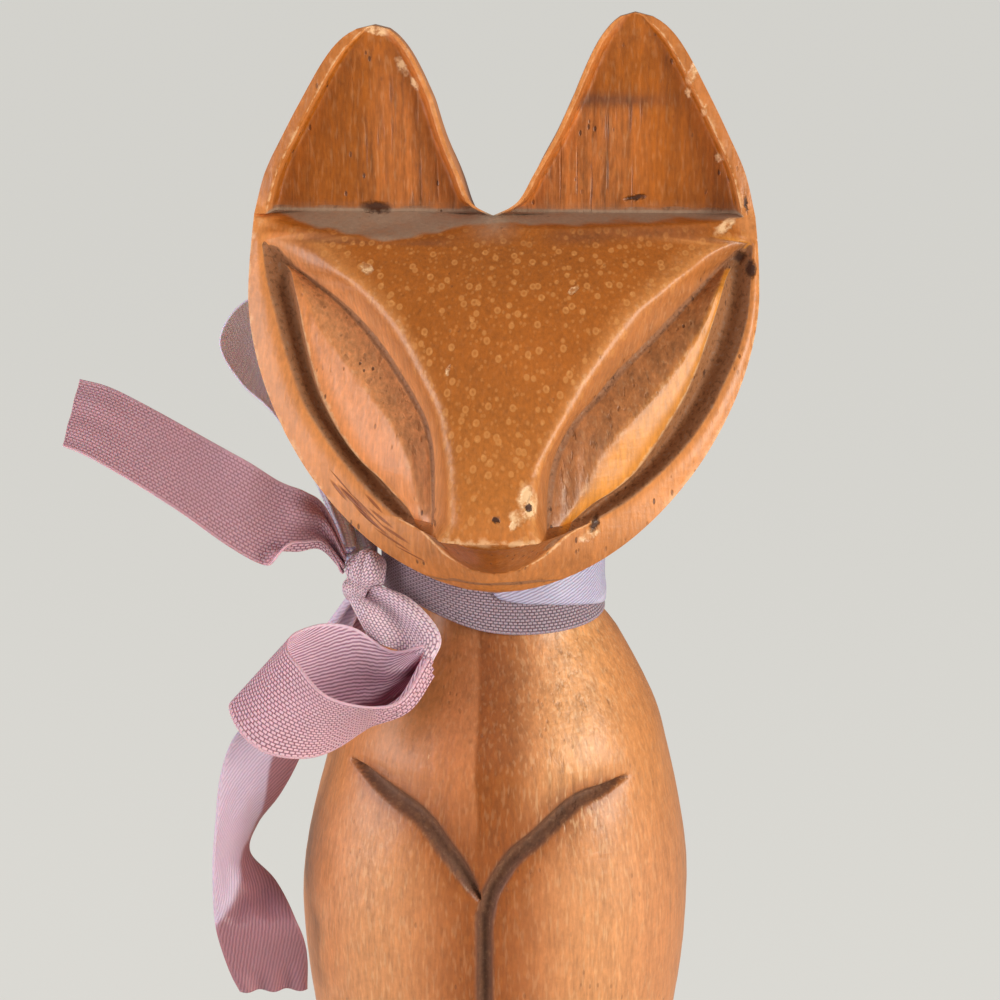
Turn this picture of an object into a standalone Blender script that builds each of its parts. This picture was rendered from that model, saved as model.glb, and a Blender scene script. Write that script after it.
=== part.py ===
"""Carved wooden cat figurine with a ribbon bow tied round its neck.

Metres, +Z up. The figure stands on Z = 0 and looks along -Y, so its own left side is +X.
The wood is one block: a turned-looking body with haunches, paws and a tail in low relief, and a
shield-shaped head with a T-shaped brow and nose, two slanting leaf eyes and two hollowed ears.
The ribbon is a flat strip in seven named stretches that meet at the knot.
"""
import math

import bmesh
import bpy
from mathutils import Vector

# Wooden body: heights above the table
CHIN_HEIGHT = 0.174
WAIST_HEIGHT = 0.070
SHOULDER_HEIGHT = 0.117
# Half width, reach to the front and reach to the back of the body at each level
FOOT_HALF_WIDTH, FOOT_FRONT, FOOT_BACK = 0.0298, 0.0320, 0.0330
THIGH_HALF_WIDTH, THIGH_FRONT, THIGH_BACK = 0.0278, 0.0268, 0.0310
WAIST_HALF_WIDTH, WAIST_FRONT, WAIST_BACK = 0.0262, 0.0248, 0.0260
SHOULDER_HALF_WIDTH, SHOULDER_FRONT, SHOULDER_BACK = 0.0308, 0.0262, 0.0205
COLLAR_HALF_WIDTH, COLLAR_FRONT, COLLAR_BACK = 0.0256, 0.0232, 0.0175
NAPE_HALF_WIDTH, NAPE_FRONT, NAPE_BACK = 0.0181, 0.0163, 0.0151
NECK_HALF_WIDTH, NECK_FRONT, NECK_BACK = 0.0137, 0.0136, 0.0136
THROAT_FLARE = 1.06          # widening of the neck at the throat
COLLAR_DROP = 0.029          # collar below the chin
NAPE_DROP = 0.0138           # nape below the chin
THROAT_DROP = 0.009          # throat below the chin
FOOT_CHAMFER = 0.0012
BODY_LEAN = -0.0014          # sideways set of the shoulders from the neck
BODY_SQUARENESS = 2.2

# Haunches, paws and tail
HAUNCH_AT, HAUNCH_SIZE = (0.0165, 0.0080, 0.0320), (0.0175, 0.0270, 0.0360)
FRONT_PAW_AT, FRONT_PAW_SIZE = (0.0108, -0.0280, 0.0040), (0.0096, 0.0125, 0.0095)
HIND_PAW_AT, HIND_PAW_SIZE = (0.0235, -0.0170, 0.0030), (0.0095, 0.0175, 0.0085)
TAIL_RADIUS, TAIL_RELIEF, TAIL_HEIGHT = 0.0060, 0.0042, 0.0085

# Gouged lines on the chest and between the forelegs
GOUGE_RADIUS, GOUGE_DEPTH = 0.0016, 0.0013
VEE_HALF_WIDTH, VEE_TOP, VEE_FOOT = 0.0202, 0.1457, 0.1240
LEG_LINE_FOOT = 0.0120
LEG_LINE_X = -0.0014

# Head: heights above the chin
LIP_UP, NOSE_UP, EYE_TOP_UP, NOTCH_UP = 0.0039, 0.0108, 0.0475, 0.0515
EAR_UP_LEFT, EAR_UP_RIGHT = 0.0782, 0.0801
NOTCH_SHIFT = -0.0015        # sideways set of the notch between the ears
CHEEK_UP = 0.0400            # the widest level of the head
HEAD_HALF_WIDTH = 0.0375
CHEEK_ROUNDNESS = 1.8
HEAD_DEPTH_AT_BACK = 0.0182  # back of the skull behind the neck's axis
NOSE_REACH = 0.0346          # nose tip in front of the neck's axis
UNDERCUT = 0.0026            # step under the nose
FACE_SHIFT = 0.0012          # the carved face sits a little to +X on its block
RIM_LEAN = 0.45              # slope of the rim round the face
GROOVE_DEPTH = 0.0024        # outer groove round the eye
BRIDGE_DEPTH = 0.0065        # foot of the nose's side behind the slope to the rim
FOOT_DEPTH = 0.0044          # foot of the brow's side behind that slope
RIDGE_DEPTH = 0.0045         # eye's ridge behind that slope, at its lower end
EDGE_ROUND = 0.0004          # swell of the rim between groove and outline
EAR_HOLLOW = 0.0028          # depth of the hollow in the ear
EAR_RIM = 0.0012             # flat rim round the hollow
EAR_INNER_WALL, EAR_OUTER_WALL = 0.0026, 0.0014
EDGE_THICKNESS = 0.0012      # thickness of the head along its outline
EAR_BACK_BASE, EAR_BACK_TIP = 0.0115, 0.0050   # back of the ears behind the neck's axis

# Ribbon
RIBBON_WIDTH, RIBBON_THICKNESS = 0.012, 0.0006
SEAT_GAP = 0.0003            # air between pieces that touch
BAND_DROP = 0.0092           # lower edge of the neck band below the chin
KNOT_RADIUS = 0.0034
KNOT_OUT = 0.0240            # knot's centre from the neck's axis
KNOT_ANGLE = math.radians(214.3)
KNOT_DROP = 0.0002           # knot's centre below the chin
BAND_PULL_SPREAD = math.radians(34)
BAND_GATHER = 0.22           # how much narrower the band is at the knot
BAND_EASE = 0.0004

# Stretches that hang beside the wood: degrees round from the knot, height above it, distance out from
# the wood; then the lean from one edge of the ribbon to the other, as shares of its width
BOW_TAB = [
    ((5.7, -0.0035, 0.0103), (0.36, 0.11, 0.06)),
    ((10.7, -0.0041, 0.0096), (0.47, 0.21, 0.14)),
    ((19.7, -0.0069, 0.0085), (0.62, 0.17, 0.06)),
    ((25.7, -0.0090, 0.0086), (0.64, -0.04, -0.10)),
]
FRONT_LOOP = [
    ((33.2, -0.0112, 0.0094), (0.00, 0.27, -0.26)),
    ((28.7, -0.0160, 0.0102), (-0.02, 0.62, -0.38)),
    ((21.7, -0.0181, 0.0115), (-0.16, 0.79, -0.57)),
    ((16.7, -0.0189, 0.0152), (-0.18, 0.58, -0.86)),
    ((14.7, -0.0178, 0.0197), (-0.25, 0.25, -0.99)),
    ((10.7, -0.0154, 0.0239), (-0.41, -0.17, -1.07)),
    ((5.7, -0.0133, 0.0256), (-0.55, -0.42, -0.90)),
    ((-0.3, -0.0119, 0.0239), (-0.72, -0.38, -0.75)),
    ((0.7, -0.0126, 0.0168), (-0.41, -0.25, -0.99)),
    ((6.7, -0.0137, 0.0108), (-0.12, -0.21, -1.04)),
    ((16.7, -0.0154, 0.0069), (-0.08, -0.08, -0.85)),
    ((28.2, -0.0127, 0.0080), (-0.03, -0.04, -0.62)),
]
HANGING_TAIL = [
    ((-4.3, -0.0036, 0.0097), (0.27, 0.15, -0.04)),
    ((-19.3, -0.0122, 0.0080), (0.50, 0.42, -0.17)),
    ((-20.3, -0.0232, 0.0089), (0.61, 0.51, -0.22)),
    ((-16.3, -0.0293, 0.0111), (0.75, 0.48, -0.46)),
    ((-16.3, -0.0354, 0.0121), (0.66, 0.61, -0.45)),
    ((-17.3, -0.0419, 0.0126), (0.38, 0.86, -0.35)),
    ((-16.3, -0.0471, 0.0126), (0.30, 0.92, -0.27)),
    ((-14.3, -0.0527, 0.0102), (0.68, 0.73, 0.01)),
    ((-8.3, -0.0564, 0.0095), (0.99, 0.22, 0.10)),
    ((-8.3, -0.0626, 0.0080), (0.98, 0.25, 0.17)),
    ((-8.3, -0.0680, 0.0076), (0.83, 0.25, -0.08)),
]
# Stretches that stand free, placed from the knot's centre
REAR_LOOP = [
    ((-0.0026, 0.0031, 0.0017), (0.07, 0.07, -0.30)),
    ((-0.0040, 0.0083, 0.0039), (0.15, 0.22, -0.33)),
    ((-0.0095, 0.0161, 0.0087), (0.32, 0.44, -0.52)),
    ((-0.0158, 0.0236, 0.0168), (0.36, 0.84, -0.41)),
    ((-0.0198, 0.0261, 0.0219), (0.46, 0.84, -0.28)),
    ((-0.0215, 0.0264, 0.0281), (0.51, 0.82, -0.23)),
    ((-0.0192, 0.0269, 0.0332), (0.55, 0.81, -0.22)),
    ((-0.0152, 0.0278, 0.0354), (0.54, 0.79, -0.23)),
    ((-0.0120, 0.0282, 0.0322), (0.50, 0.79, -0.21)),
    ((-0.0108, 0.0278, 0.0240), (0.46, 0.79, -0.33)),
    ((-0.0080, 0.0242, 0.0125), (0.42, 0.71, -0.42)),
    ((-0.0025, 0.0148, 0.0038), (0.25, 0.29, -0.46)),
    ((-0.0002, 0.0045, 0.0007), (0.08, 0.05, -0.30)),
]
LONG_TAIL = [
    ((-0.0040, 0.0000, 0.0012), (0.03, 0.10, 0.33)),
    ((-0.0066, 0.0011, 0.0056), (0.05, 0.35, 0.57)),
    ((-0.0098, -0.0008, 0.0067), (0.18, 0.28, 0.86)),
    ((-0.0138, -0.0011, 0.0077), (0.18, 0.32, 0.98)),
    ((-0.0184, -0.0017, 0.0107), (0.27, 0.31, 0.96)),
    ((-0.0255, 0.0002, 0.0146), (0.23, 0.61, 0.77)),
    ((-0.0335, 0.0016, 0.0189), (0.19, 0.67, 0.72)),
    ((-0.0396, 0.0027, 0.0218), (0.18, 0.69, 0.69)),
    ((-0.0438, 0.0039, 0.0228), (0.07, 0.73, 0.67)),
]

BODY_SEGMENTS = 64


def smooth(points, t):
    """Value at t of a monotone curve through (t, value) points."""
    if t <= points[0][0]:
        return points[0][1]
    if t >= points[-1][0]:
        return points[-1][1]
    slopes = [(b[1] - a[1]) / (b[0] - a[0]) for a, b in zip(points, points[1:])]
    tangents = [slopes[0]]
    for before, after in zip(slopes, slopes[1:]):
        steady = before * after > 0
        tangents.append(2 * before * after / (before + after) if steady else 0.0)
    tangents.append(slopes[-1])
    i = max(k for k, point in enumerate(points[:-1]) if point[0] <= t)
    (t0, v0), (t1, v1) = points[i], points[i + 1]
    span = t1 - t0
    s = (t - t0) / span
    return ((2 * s ** 3 - 3 * s ** 2 + 1) * v0 + (s ** 3 - 2 * s ** 2 + s) * span * tangents[i]
            + (3 * s ** 2 - 2 * s ** 3) * v1 + (s ** 3 - s ** 2) * span * tangents[i + 1])


def bell(offset, spread):
    """1 at no offset, falling smoothly to nothing."""
    return math.exp(-(offset / spread) ** 2)


# The body as a radius round the neck's axis
def body_levels():
    """Height, half width, front and back reach of the body, from the foot up."""
    foot = (FOOT_HALF_WIDTH, FOOT_FRONT, FOOT_BACK)
    neck = (NECK_HALF_WIDTH, NECK_FRONT, NECK_BACK)
    throat = tuple(size * THROAT_FLARE for size in neck)
    return [(0.0, *(size - FOOT_CHAMFER for size in foot)), (FOOT_CHAMFER, *foot),
            (WAIST_HEIGHT * 0.5, THIGH_HALF_WIDTH, THIGH_FRONT, THIGH_BACK),
            (WAIST_HEIGHT, WAIST_HALF_WIDTH, WAIST_FRONT, WAIST_BACK),
            (SHOULDER_HEIGHT, SHOULDER_HALF_WIDTH, SHOULDER_FRONT, SHOULDER_BACK),
            (CHIN_HEIGHT - COLLAR_DROP, COLLAR_HALF_WIDTH, COLLAR_FRONT, COLLAR_BACK),
            (CHIN_HEIGHT - NAPE_DROP, NAPE_HALF_WIDTH, NAPE_FRONT, NAPE_BACK),
            (CHIN_HEIGHT - THROAT_DROP, *throat),
            (CHIN_HEIGHT - 0.4 * THROAT_DROP, *neck),
            (CHIN_HEIGHT + CHEEK_UP / 2, *neck)]


def body_axis(z):
    """Sideways place of the body's axis at height z."""
    top = CHIN_HEIGHT - THROAT_DROP
    return smooth([(SHOULDER_HEIGHT, BODY_LEAN), (top, 0.0)], z)


def ellipsoid_reach(angle, z, centre, radii):
    """Distance along a level ray from the axis to the far side of an ellipsoid, or 0."""
    level = 1 - ((z - centre[2]) / radii[2]) ** 2
    cos, sin = math.cos(angle), math.sin(angle)
    a = (cos / radii[0]) ** 2 + (sin / radii[1]) ** 2
    b = -2 * (centre[0] * cos / radii[0] ** 2 + centre[1] * sin / radii[1] ** 2)
    c = (centre[0] / radii[0]) ** 2 + (centre[1] / radii[1]) ** 2 - level
    root = b * b - 4 * a * c
    if level <= 0 or root <= 0:
        return 0.0
    return max(0.0, (math.sqrt(root) - b) / (2 * a))


def tail_relief(angle, z):
    """Height of the tail that lies round the foot, from the back to the left paw."""
    along = (math.degrees(angle) + 90) % 360 - 90
    if not -30 < along < 100:
        return 0.0
    ends = min(1.0, (along + 30) / 14) * min(1.0, (100 - along) / 20)
    across = (z - TAIL_HEIGHT) / TAIL_RADIUS
    return TAIL_RELIEF * math.sqrt(max(0.0, 1 - across * across)) * ends ** 0.5


def body_reach(angle, z):
    """Radius of the body at an angle from +X and a height."""
    levels = body_levels()
    half_width = smooth([(level[0], level[1]) for level in levels], z)
    depth = smooth([(level[0], level[2 if math.sin(angle) < 0 else 3]) for level in levels], z)
    n = BODY_SQUARENESS
    trunk = (abs(math.cos(angle) / half_width) ** n + abs(math.sin(angle) / depth) ** n) ** (-1 / n)
    trunk += tail_relief(angle, z)
    reach = trunk ** 14
    for side in (-1, 1):
        for centre, radii in ((HAUNCH_AT, HAUNCH_SIZE), (FRONT_PAW_AT, FRONT_PAW_SIZE),
                              (HIND_PAW_AT, HIND_PAW_SIZE)):
            mirrored = (side * centre[0], centre[1], centre[2])
            reach += ellipsoid_reach(angle, z, mirrored, radii) ** 14
    return reach ** (1 / 14)


def body_point(angle, z, out=0.0):
    """Point on the body's surface, or a distance out from it."""
    reach = body_reach(angle, z) + out
    return Vector((body_axis(z) + reach * math.cos(angle), reach * math.sin(angle), z))


# The head as a relief over its outline
def head_half_width(up):
    """Half width of the head's outline at a height above the chin, up to the notch."""
    if up <= CHEEK_UP:
        fall = ((CHEEK_UP - up) / CHEEK_UP) ** CHEEK_ROUNDNESS
        return HEAD_HALF_WIDTH * (1 - fall) ** (1 / CHEEK_ROUNDNESS)
    above = (up - CHEEK_UP) / (NOTCH_UP - CHEEK_UP)
    return HEAD_HALF_WIDTH * (1 - 0.019 * above ** 2)


# Edges of the ears: share of the ear's height, distance from the middle as a share of the half width
EAR_INNER = [(0, 0.0), (0.04, 0.066), (0.08, 0.100), (0.2, 0.145), (0.4, 0.220), (0.64, 0.290),
             (0.84, 0.361), (0.93, 0.410), (0.98, 0.455), (1, 0.490)]
EAR_OUTER = [(0, 1.0), (0.2, 0.960), (0.43, 0.877), (0.63, 0.795), (0.84, 0.700), (0.93, 0.640),
             (0.98, 0.580), (1, 0.535)]


def ear_span(t, side):
    """Inner and outer edge of an ear at a share t of its height, as distances from the middle."""
    half_width = head_half_width(NOTCH_UP)
    shift = side * NOTCH_SHIFT * smooth([(0, 1.0), (0.6, 0.0)], t)
    return half_width * smooth(EAR_INNER, t) + shift, half_width * smooth(EAR_OUTER, t)


def share_of_face(up):
    """0 at the nose's lower edge, 1 at the eyes' upper corners."""
    return (up - NOSE_UP) / (EYE_TOP_UP - NOSE_UP)


FACE_LINES = {   # distance from the middle, as shares of the head's half width, from nose to eye corner
    "crest": [(0, 0.184), (0.06, 0.152), (0.15, 0.155), (0.34, 0.203), (0.53, 0.30), (0.69, 0.41),
              (0.85, 0.573), (0.96, 0.79), (1, 0.925)],
    "foot": [(0, 0.208), (0.17, 0.224), (0.36, 0.288), (0.55, 0.424), (0.74, 0.613), (0.89, 0.80),
             (1, 0.930)],
    "ridge": [(0, 0.267), (0.15, 0.333), (0.34, 0.445), (0.53, 0.60), (0.68, 0.728), (0.86, 0.835),
              (1, 0.935)],
    "lid": [(0, 0.307), (0.09, 0.427), (0.23, 0.560), (0.42, 0.688), (0.64, 0.77), (0.86, 0.855),
            (1, 0.940)],
    "rim": [(0, 0.392), (0.14, 0.568), (0.31, 0.720), (0.50, 0.829), (0.73, 0.912), (0.88, 0.938),
            (1, 0.948)],
}


def face_line(name, up):
    """Distance of a carved line from the middle of the face."""
    if name == "rim" and up < NOSE_UP:
        lip = [(0, 0.0), (0.09, 0.09), (0.32, 0.176), (0.75, 0.275), (1, 0.392)]
        return HEAD_HALF_WIDTH * smooth(lip, (up - LIP_UP) / (NOSE_UP - LIP_UP))
    return HEAD_HALF_WIDTH * smooth(FACE_LINES[name], share_of_face(up))


def face_shift(up):
    """Sideways set of the carved lines on the head's outline."""
    share = [(0, 0.0), (0.3, 1.0), (0.75, 1.0), (1.0, 0.4), (1.09, 0.0)]
    return FACE_SHIFT * smooth(share, share_of_face(up))


def edge_depth(up):
    """How far back the head's outline lies at a height above the chin."""
    reach = [(0, 0.665), (0.0054, 0.592), (0.0149, 0.439), (0.0263, 0.283), (0.0387, 0.150),
             (0.0515, 0.043), (0.0801, -0.014)]
    return -NOSE_REACH * smooth(reach, up)


def middle_depth(up):
    """Depth of the brow and nose along the middle line."""
    reach = [(0, 1.0), (0.055, 0.983), (0.245, 0.85), (0.49, 0.66), (0.75, 0.463), (0.92, 0.295),
             (1.03, 0.16), (1.11, 0.07)]
    return -NOSE_REACH * smooth(reach, share_of_face(up))


def crest_depth(up):
    """Depth of the crest between brow and eye."""
    reach = [(0, 0.983), (0.06, 0.954), (0.25, 0.818), (0.49, 0.633), (0.76, 0.434), (0.89, 0.30),
             (0.96, 0.20), (1.0, 0.104)]
    return -NOSE_REACH * smooth(reach, share_of_face(up))


def face_section(up):
    """Depth and place of the carved lines of one half of the face, from the middle to the edge."""
    share = share_of_face(up)
    edge = head_half_width(up)
    crest, foot, ridge = (face_line(name, up) for name in ("crest", "foot", "ridge"))
    lid, rim = face_line("lid", up), face_line("rim", up)
    y_edge, y_crest = edge_depth(up), crest_depth(up)
    y_rim = y_edge - RIM_LEAN * (edge - rim)

    def slope(x):
        return y_crest + (y_rim - y_crest) * (x - crest) / (rim - crest)

    y_foot = slope(foot) + smooth([(0, BRIDGE_DEPTH), (0.42, FOOT_DEPTH), (0.74, 0.9 * FOOT_DEPTH),
                                   (0.9, 0.4 * FOOT_DEPTH), (1, 0)], share)
    y_ridge = slope(ridge) + RIDGE_DEPTH * smooth([(0, 1), (0.14, 0.67), (0.33, 0.33), (0.52, 0.22),
                                                   (0.85, 0.13), (1, 0)], share)
    y_lid = y_rim - 0.35 * (rim - lid)
    y_groove = y_rim + GROOVE_DEPTH * smooth([(0, 0.5), (0.2, 1), (0.85, 1), (1, 0)], share)
    groove = (lid + rim) / 2
    middle = middle_depth(up)
    return [(0.0, middle), (crest / 2, 0.75 * middle + 0.25 * y_crest), (crest, y_crest),
            ((crest + foot) / 2, (y_crest + y_foot) / 2), (foot, y_foot),
            ((foot + ridge) / 2, (y_foot + y_ridge) / 2), (ridge, y_ridge),
            ((ridge + lid) / 2, (y_ridge + y_lid) / 2), (lid, y_lid), (groove, y_groove),
            (rim, y_rim), ((rim + edge) / 2, y_edge - RIM_LEAN * (edge - rim) / 2 - EDGE_ROUND),
            (edge, y_edge)]


def chin_section(up):
    """The same lines below the nose: the recess under it and the lip round the chin."""
    edge = head_half_width(up)
    places = [x * edge / head_half_width(NOSE_UP) for x, _ in face_section(NOSE_UP)]
    rim = face_line("rim", up)
    y_edge = edge_depth(up)
    y_rim = y_edge - RIM_LEAN * (edge - rim)
    y_recess = smooth([(LIP_UP, -0.780 * NOSE_REACH), (0.55 * LIP_UP + 0.45 * NOSE_UP, -0.85 * NOSE_REACH),
                       (NOSE_UP, UNDERCUT - NOSE_REACH)], up)
    section = []
    for x in places:
        if x >= rim:
            section.append((x, y_edge - RIM_LEAN * (edge - x)))
        else:
            section.append((x, y_rim + (y_recess - y_rim) * (1 - (x / rim) ** 2)))
    return section


def brow_section(up, side):
    """The lines where the brow turns into the ledge at the foot of the ears."""
    rise = (up - EYE_TOP_UP) / (NOTCH_UP - EYE_TOP_UP)
    inner, outer = ear_span(0.0, side)
    corner = [x for x, _ in face_section(EYE_TOP_UP)]
    ear = [inner + (outer - inner) * k / 12 for k in range(13)]
    edge, middle = edge_depth(up), middle_depth(up)
    section = []
    for x_corner, x_ear in zip(corner, ear):
        x = x_corner + (x_ear - x_corner) * rise
        section.append((x, middle + (edge - middle) * min(1.0, x / head_half_width(up)) ** 4))
    return section


def ear_section(t, side):
    """The lines across an ear's hollow front, from the notch to the outer edge."""
    inner, outer = ear_span(t, side)
    up = NOTCH_UP + t * ((EAR_UP_RIGHT if side > 0 else EAR_UP_LEFT) - NOTCH_UP)
    width = outer - inner
    room = min(1.0, 0.6 * width / (2 * EAR_RIM + EAR_INNER_WALL + EAR_OUTER_WALL))
    rim, inner_wall, outer_wall = (size * room for size in (EAR_RIM, EAR_INNER_WALL, EAR_OUTER_WALL))
    low, high = rim + inner_wall, width - rim - outer_wall
    depth = EAR_HOLLOW * smooth([(0, 1.15), (0.5, 0.85), (0.8, 0.5), (0.95, 0.1), (1, 0)], t)
    lines = [(0, 0), (rim, 0), (rim + inner_wall / 2, 0.55)]
    lines += [(low + (high - low) * k / 6, 1.0) for k in range(7)]
    lines += [(width - rim - outer_wall / 2, 0.6), (width - rim, 0), (width, 0)]
    return [(inner + place, edge_depth(up) + depth * share) for place, share in lines]


# Rows of the head's front, as shares of the height of each zone
CHIN_ROWS = [0, 0.15, 0.45, 0.93]
LIP_ROWS = [0.17, 0.43, 0.72, 0.94]
EYE_ROWS = [0, 0.04, 0.09, 0.15, 0.22, 0.29, 0.37, 0.45, 0.53, 0.61, 0.69, 0.76, 0.82, 0.88, 0.93, 0.97]
BROW_ROWS = [0, 0.3, 0.6, 0.9]
EAR_ROWS = [0, 0.03, 0.07, 0.13, 0.21, 0.31, 0.42, 0.53, 0.63, 0.72, 0.80, 0.87, 0.93, 0.97, 0.992]


def front_rows(side):
    """Heights above the chin and sections of one half of the head's front, from chin to ear tip."""
    ups = [LIP_UP * share for share in CHIN_ROWS]
    ups += [LIP_UP + share * (NOSE_UP - LIP_UP) for share in LIP_ROWS]
    rows = [(up, chin_section(up)) for up in ups]
    for share in EYE_ROWS:
        up = NOSE_UP + share * (EYE_TOP_UP - NOSE_UP)
        rows.append((up, face_section(up)))
    for share in BROW_ROWS:
        up = EYE_TOP_UP + share * (NOTCH_UP - EYE_TOP_UP)
        rows.append((up, brow_section(up, side)))
    ear_up = EAR_UP_RIGHT if side > 0 else EAR_UP_LEFT
    for t in EAR_ROWS:
        rows.append((NOTCH_UP + t * (ear_up - NOTCH_UP), ear_section(t, side)))
    return rows


def ears_parting(up):
    """0 where the back of the head is one, 1 where the backs of the ears are apart."""
    return smooth([(NOTCH_UP, 0.0), (NOTCH_UP + 0.0090, 1.0)], up)


def back_place(share, up, span):
    """Sideways place of a column on the back, closer together towards the outline."""
    whole = math.sin(share * math.pi / 2)
    own = (1 - math.cos(share * math.pi)) / 2
    return span[0] + (span[1] - span[0]) * (whole + (own - whole) * ears_parting(up))


def back_depth(up, x, span):
    """Depth of the back of the head, or of an ear's back, over the same outline."""
    rim = edge_depth(up) + EDGE_THICKNESS
    skull = smooth([(0, -0.66 * NOSE_REACH), (0.0015, -0.59 * NOSE_REACH), (0.0035, -0.49 * NOSE_REACH),
                    (0.0055, -0.0080), (0.009, 0.55 * HEAD_DEPTH_AT_BACK), (0.013, 0.82 * HEAD_DEPTH_AT_BACK),
                    (0.021, 0.98 * HEAD_DEPTH_AT_BACK), (0.031, HEAD_DEPTH_AT_BACK),
                    (0.041, 0.91 * HEAD_DEPTH_AT_BACK), (NOTCH_UP, EAR_BACK_BASE),
                    (EAR_UP_RIGHT, EAR_BACK_TIP)], up)
    inner, outer = span
    whole = max(0.0, 1 - abs(x / max(outer, 1e-6)) ** 2.4) ** 0.55
    parting = ears_parting(up)
    across = 2 * (x - inner) / max(outer - inner, 1e-6) - 1
    own = max(0.0, 1 - abs(across) ** 2.4) ** 0.55
    if across < 0:
        wall = smooth([(NOTCH_UP, 1.0), (NOTCH_UP + 0.0060, 0.6), (EAR_UP_RIGHT, 0.35)], up)
        own = wall + (1 - wall) * own
    share = whole + (own - whole) * parting
    return rim + (skull - rim) * share


def set_grid(mesh, rows, side, at_back):
    """Add a grid to the mesh and lay it on one half of the head's front or back."""
    columns = 12
    made = bmesh.ops.create_grid(mesh, x_segments=columns, y_segments=len(rows) - 1, size=1.0)
    for vertex in made["verts"]:
        column = round((vertex.co.x + 1) / 2 * columns)
        row = round((vertex.co.y + 1) / 2 * (len(rows) - 1))
        up, section = rows[row]
        x, y = section[column]
        span = (section[0][0], section[-1][0])
        if at_back:
            x = back_place(column / columns, up, span)
            y = back_depth(up, x, span)
        inside = 0 < column < columns
        shift = face_shift(up) if inside and not at_back else 0.0
        vertex.co = Vector((side * x + shift, y, CHIN_HEIGHT + up))


def build_head():
    """The head as one closed mesh: front and back grids joined along the outline."""
    mesh = bmesh.new()
    for side in (-1, 1):
        rows = front_rows(side)
        set_grid(mesh, rows, side, at_back=False)
        set_grid(mesh, rows, side, at_back=True)
    bmesh.ops.remove_doubles(mesh, verts=mesh.verts, dist=1e-6)
    bmesh.ops.dissolve_degenerate(mesh, edges=mesh.edges, dist=1e-6)
    border = [edge for edge in mesh.edges if edge.is_boundary]
    bmesh.ops.bridge_loops(mesh, edges=border)
    bmesh.ops.recalc_face_normals(mesh, faces=mesh.faces)
    return mesh


def build_body():
    """The body as rings of its surface joined from the foot to inside the head."""
    heights = [0.0, FOOT_CHAMFER, 0.004, 0.0075, 0.011, 0.0145, 0.019, 0.025, 0.033, 0.042, 0.052]
    heights += [WAIST_HEIGHT - 0.008, WAIST_HEIGHT + 0.006]
    heights += [SHOULDER_HEIGHT + step for step in (-0.028, -0.014, 0.0, 0.011)]
    low, top = CHIN_HEIGHT - BAND_DROP, CHIN_HEIGHT - BAND_DROP + RIBBON_WIDTH
    heights += [CHIN_HEIGHT - COLLAR_DROP - 0.006, CHIN_HEIGHT - COLLAR_DROP + 0.002]
    heights += [CHIN_HEIGHT - NAPE_DROP - 0.008, CHIN_HEIGHT - NAPE_DROP - 0.004, CHIN_HEIGHT - NAPE_DROP]
    heights += [low - 0.002, low, low + RIBBON_WIDTH / 4, low + RIBBON_WIDTH / 2, top]
    heights += [CHIN_HEIGHT + 0.009, CHIN_HEIGHT + 0.018]
    mesh = bmesh.new()
    for z in heights:
        ring = bmesh.ops.create_circle(mesh, segments=BODY_SEGMENTS, radius=1.0)["verts"]
        for vertex in ring:
            vertex.co = body_point(math.atan2(vertex.co.y, vertex.co.x), z)
    bmesh.ops.bridge_loops(mesh, edges=mesh.edges)
    rims = [edge for edge in mesh.edges if edge.is_boundary]
    bmesh.ops.holes_fill(mesh, edges=rims)
    bmesh.ops.recalc_face_normals(mesh, faces=mesh.faces)
    return mesh


def gouge_routes():
    """Points (sideways, height, width share) of the V's two arms and of the line between the forelegs."""
    def arm(side):
        x_at = [(0, 1.0), (0.17, 0.73), (0.41, 0.42), (0.70, 0.18), (0.90, 0.06), (1, 0.01)]
        width_at = [(0, 0.25), (0.15, 0.75), (0.5, 1.0), (1, 0.9)]
        return [(LEG_LINE_X + side * VEE_HALF_WIDTH * smooth(x_at, k / 11),
                 VEE_TOP + (VEE_FOOT - VEE_TOP) * k / 11, smooth(width_at, k / 11)) for k in range(12)]

    top = VEE_FOOT + GOUGE_RADIUS
    line = [(LEG_LINE_X, top + (LEG_LINE_FOOT - top) * k / 12, 1.0) for k in range(13)]
    return [arm(-1), arm(1), line]


def gouge_point(x, z, width):
    """Centre of the gouge's bar over the body's front at a sideways place and height."""
    angle = -math.pi / 2
    for _ in range(12):
        reach = body_reach(angle, z)
        cosine = max(-0.95, min(0.95, (x - body_axis(z)) / reach))
        angle = -math.acos(cosine)
    return body_point(angle, z, (GOUGE_RADIUS - GOUGE_DEPTH) * width)


def add_object(name, mesh_data, material=None):
    """Link an object that holds a mesh."""
    thing = bpy.data.objects.new(name, mesh_data)
    bpy.context.scene.collection.objects.link(thing)
    if material:
        mesh_data.materials.append(material)
    return thing


def mesh_from(name, source):
    """A mesh data block from a bmesh, which is freed."""
    data = bpy.data.meshes.new(name)
    source.to_mesh(data)
    source.free()
    return data


def hide_tool(thing):
    """Mark a cutter or a guide, which isn't part of the model."""
    thing.hide_render = True
    thing.display_type = 'WIRE'


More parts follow.
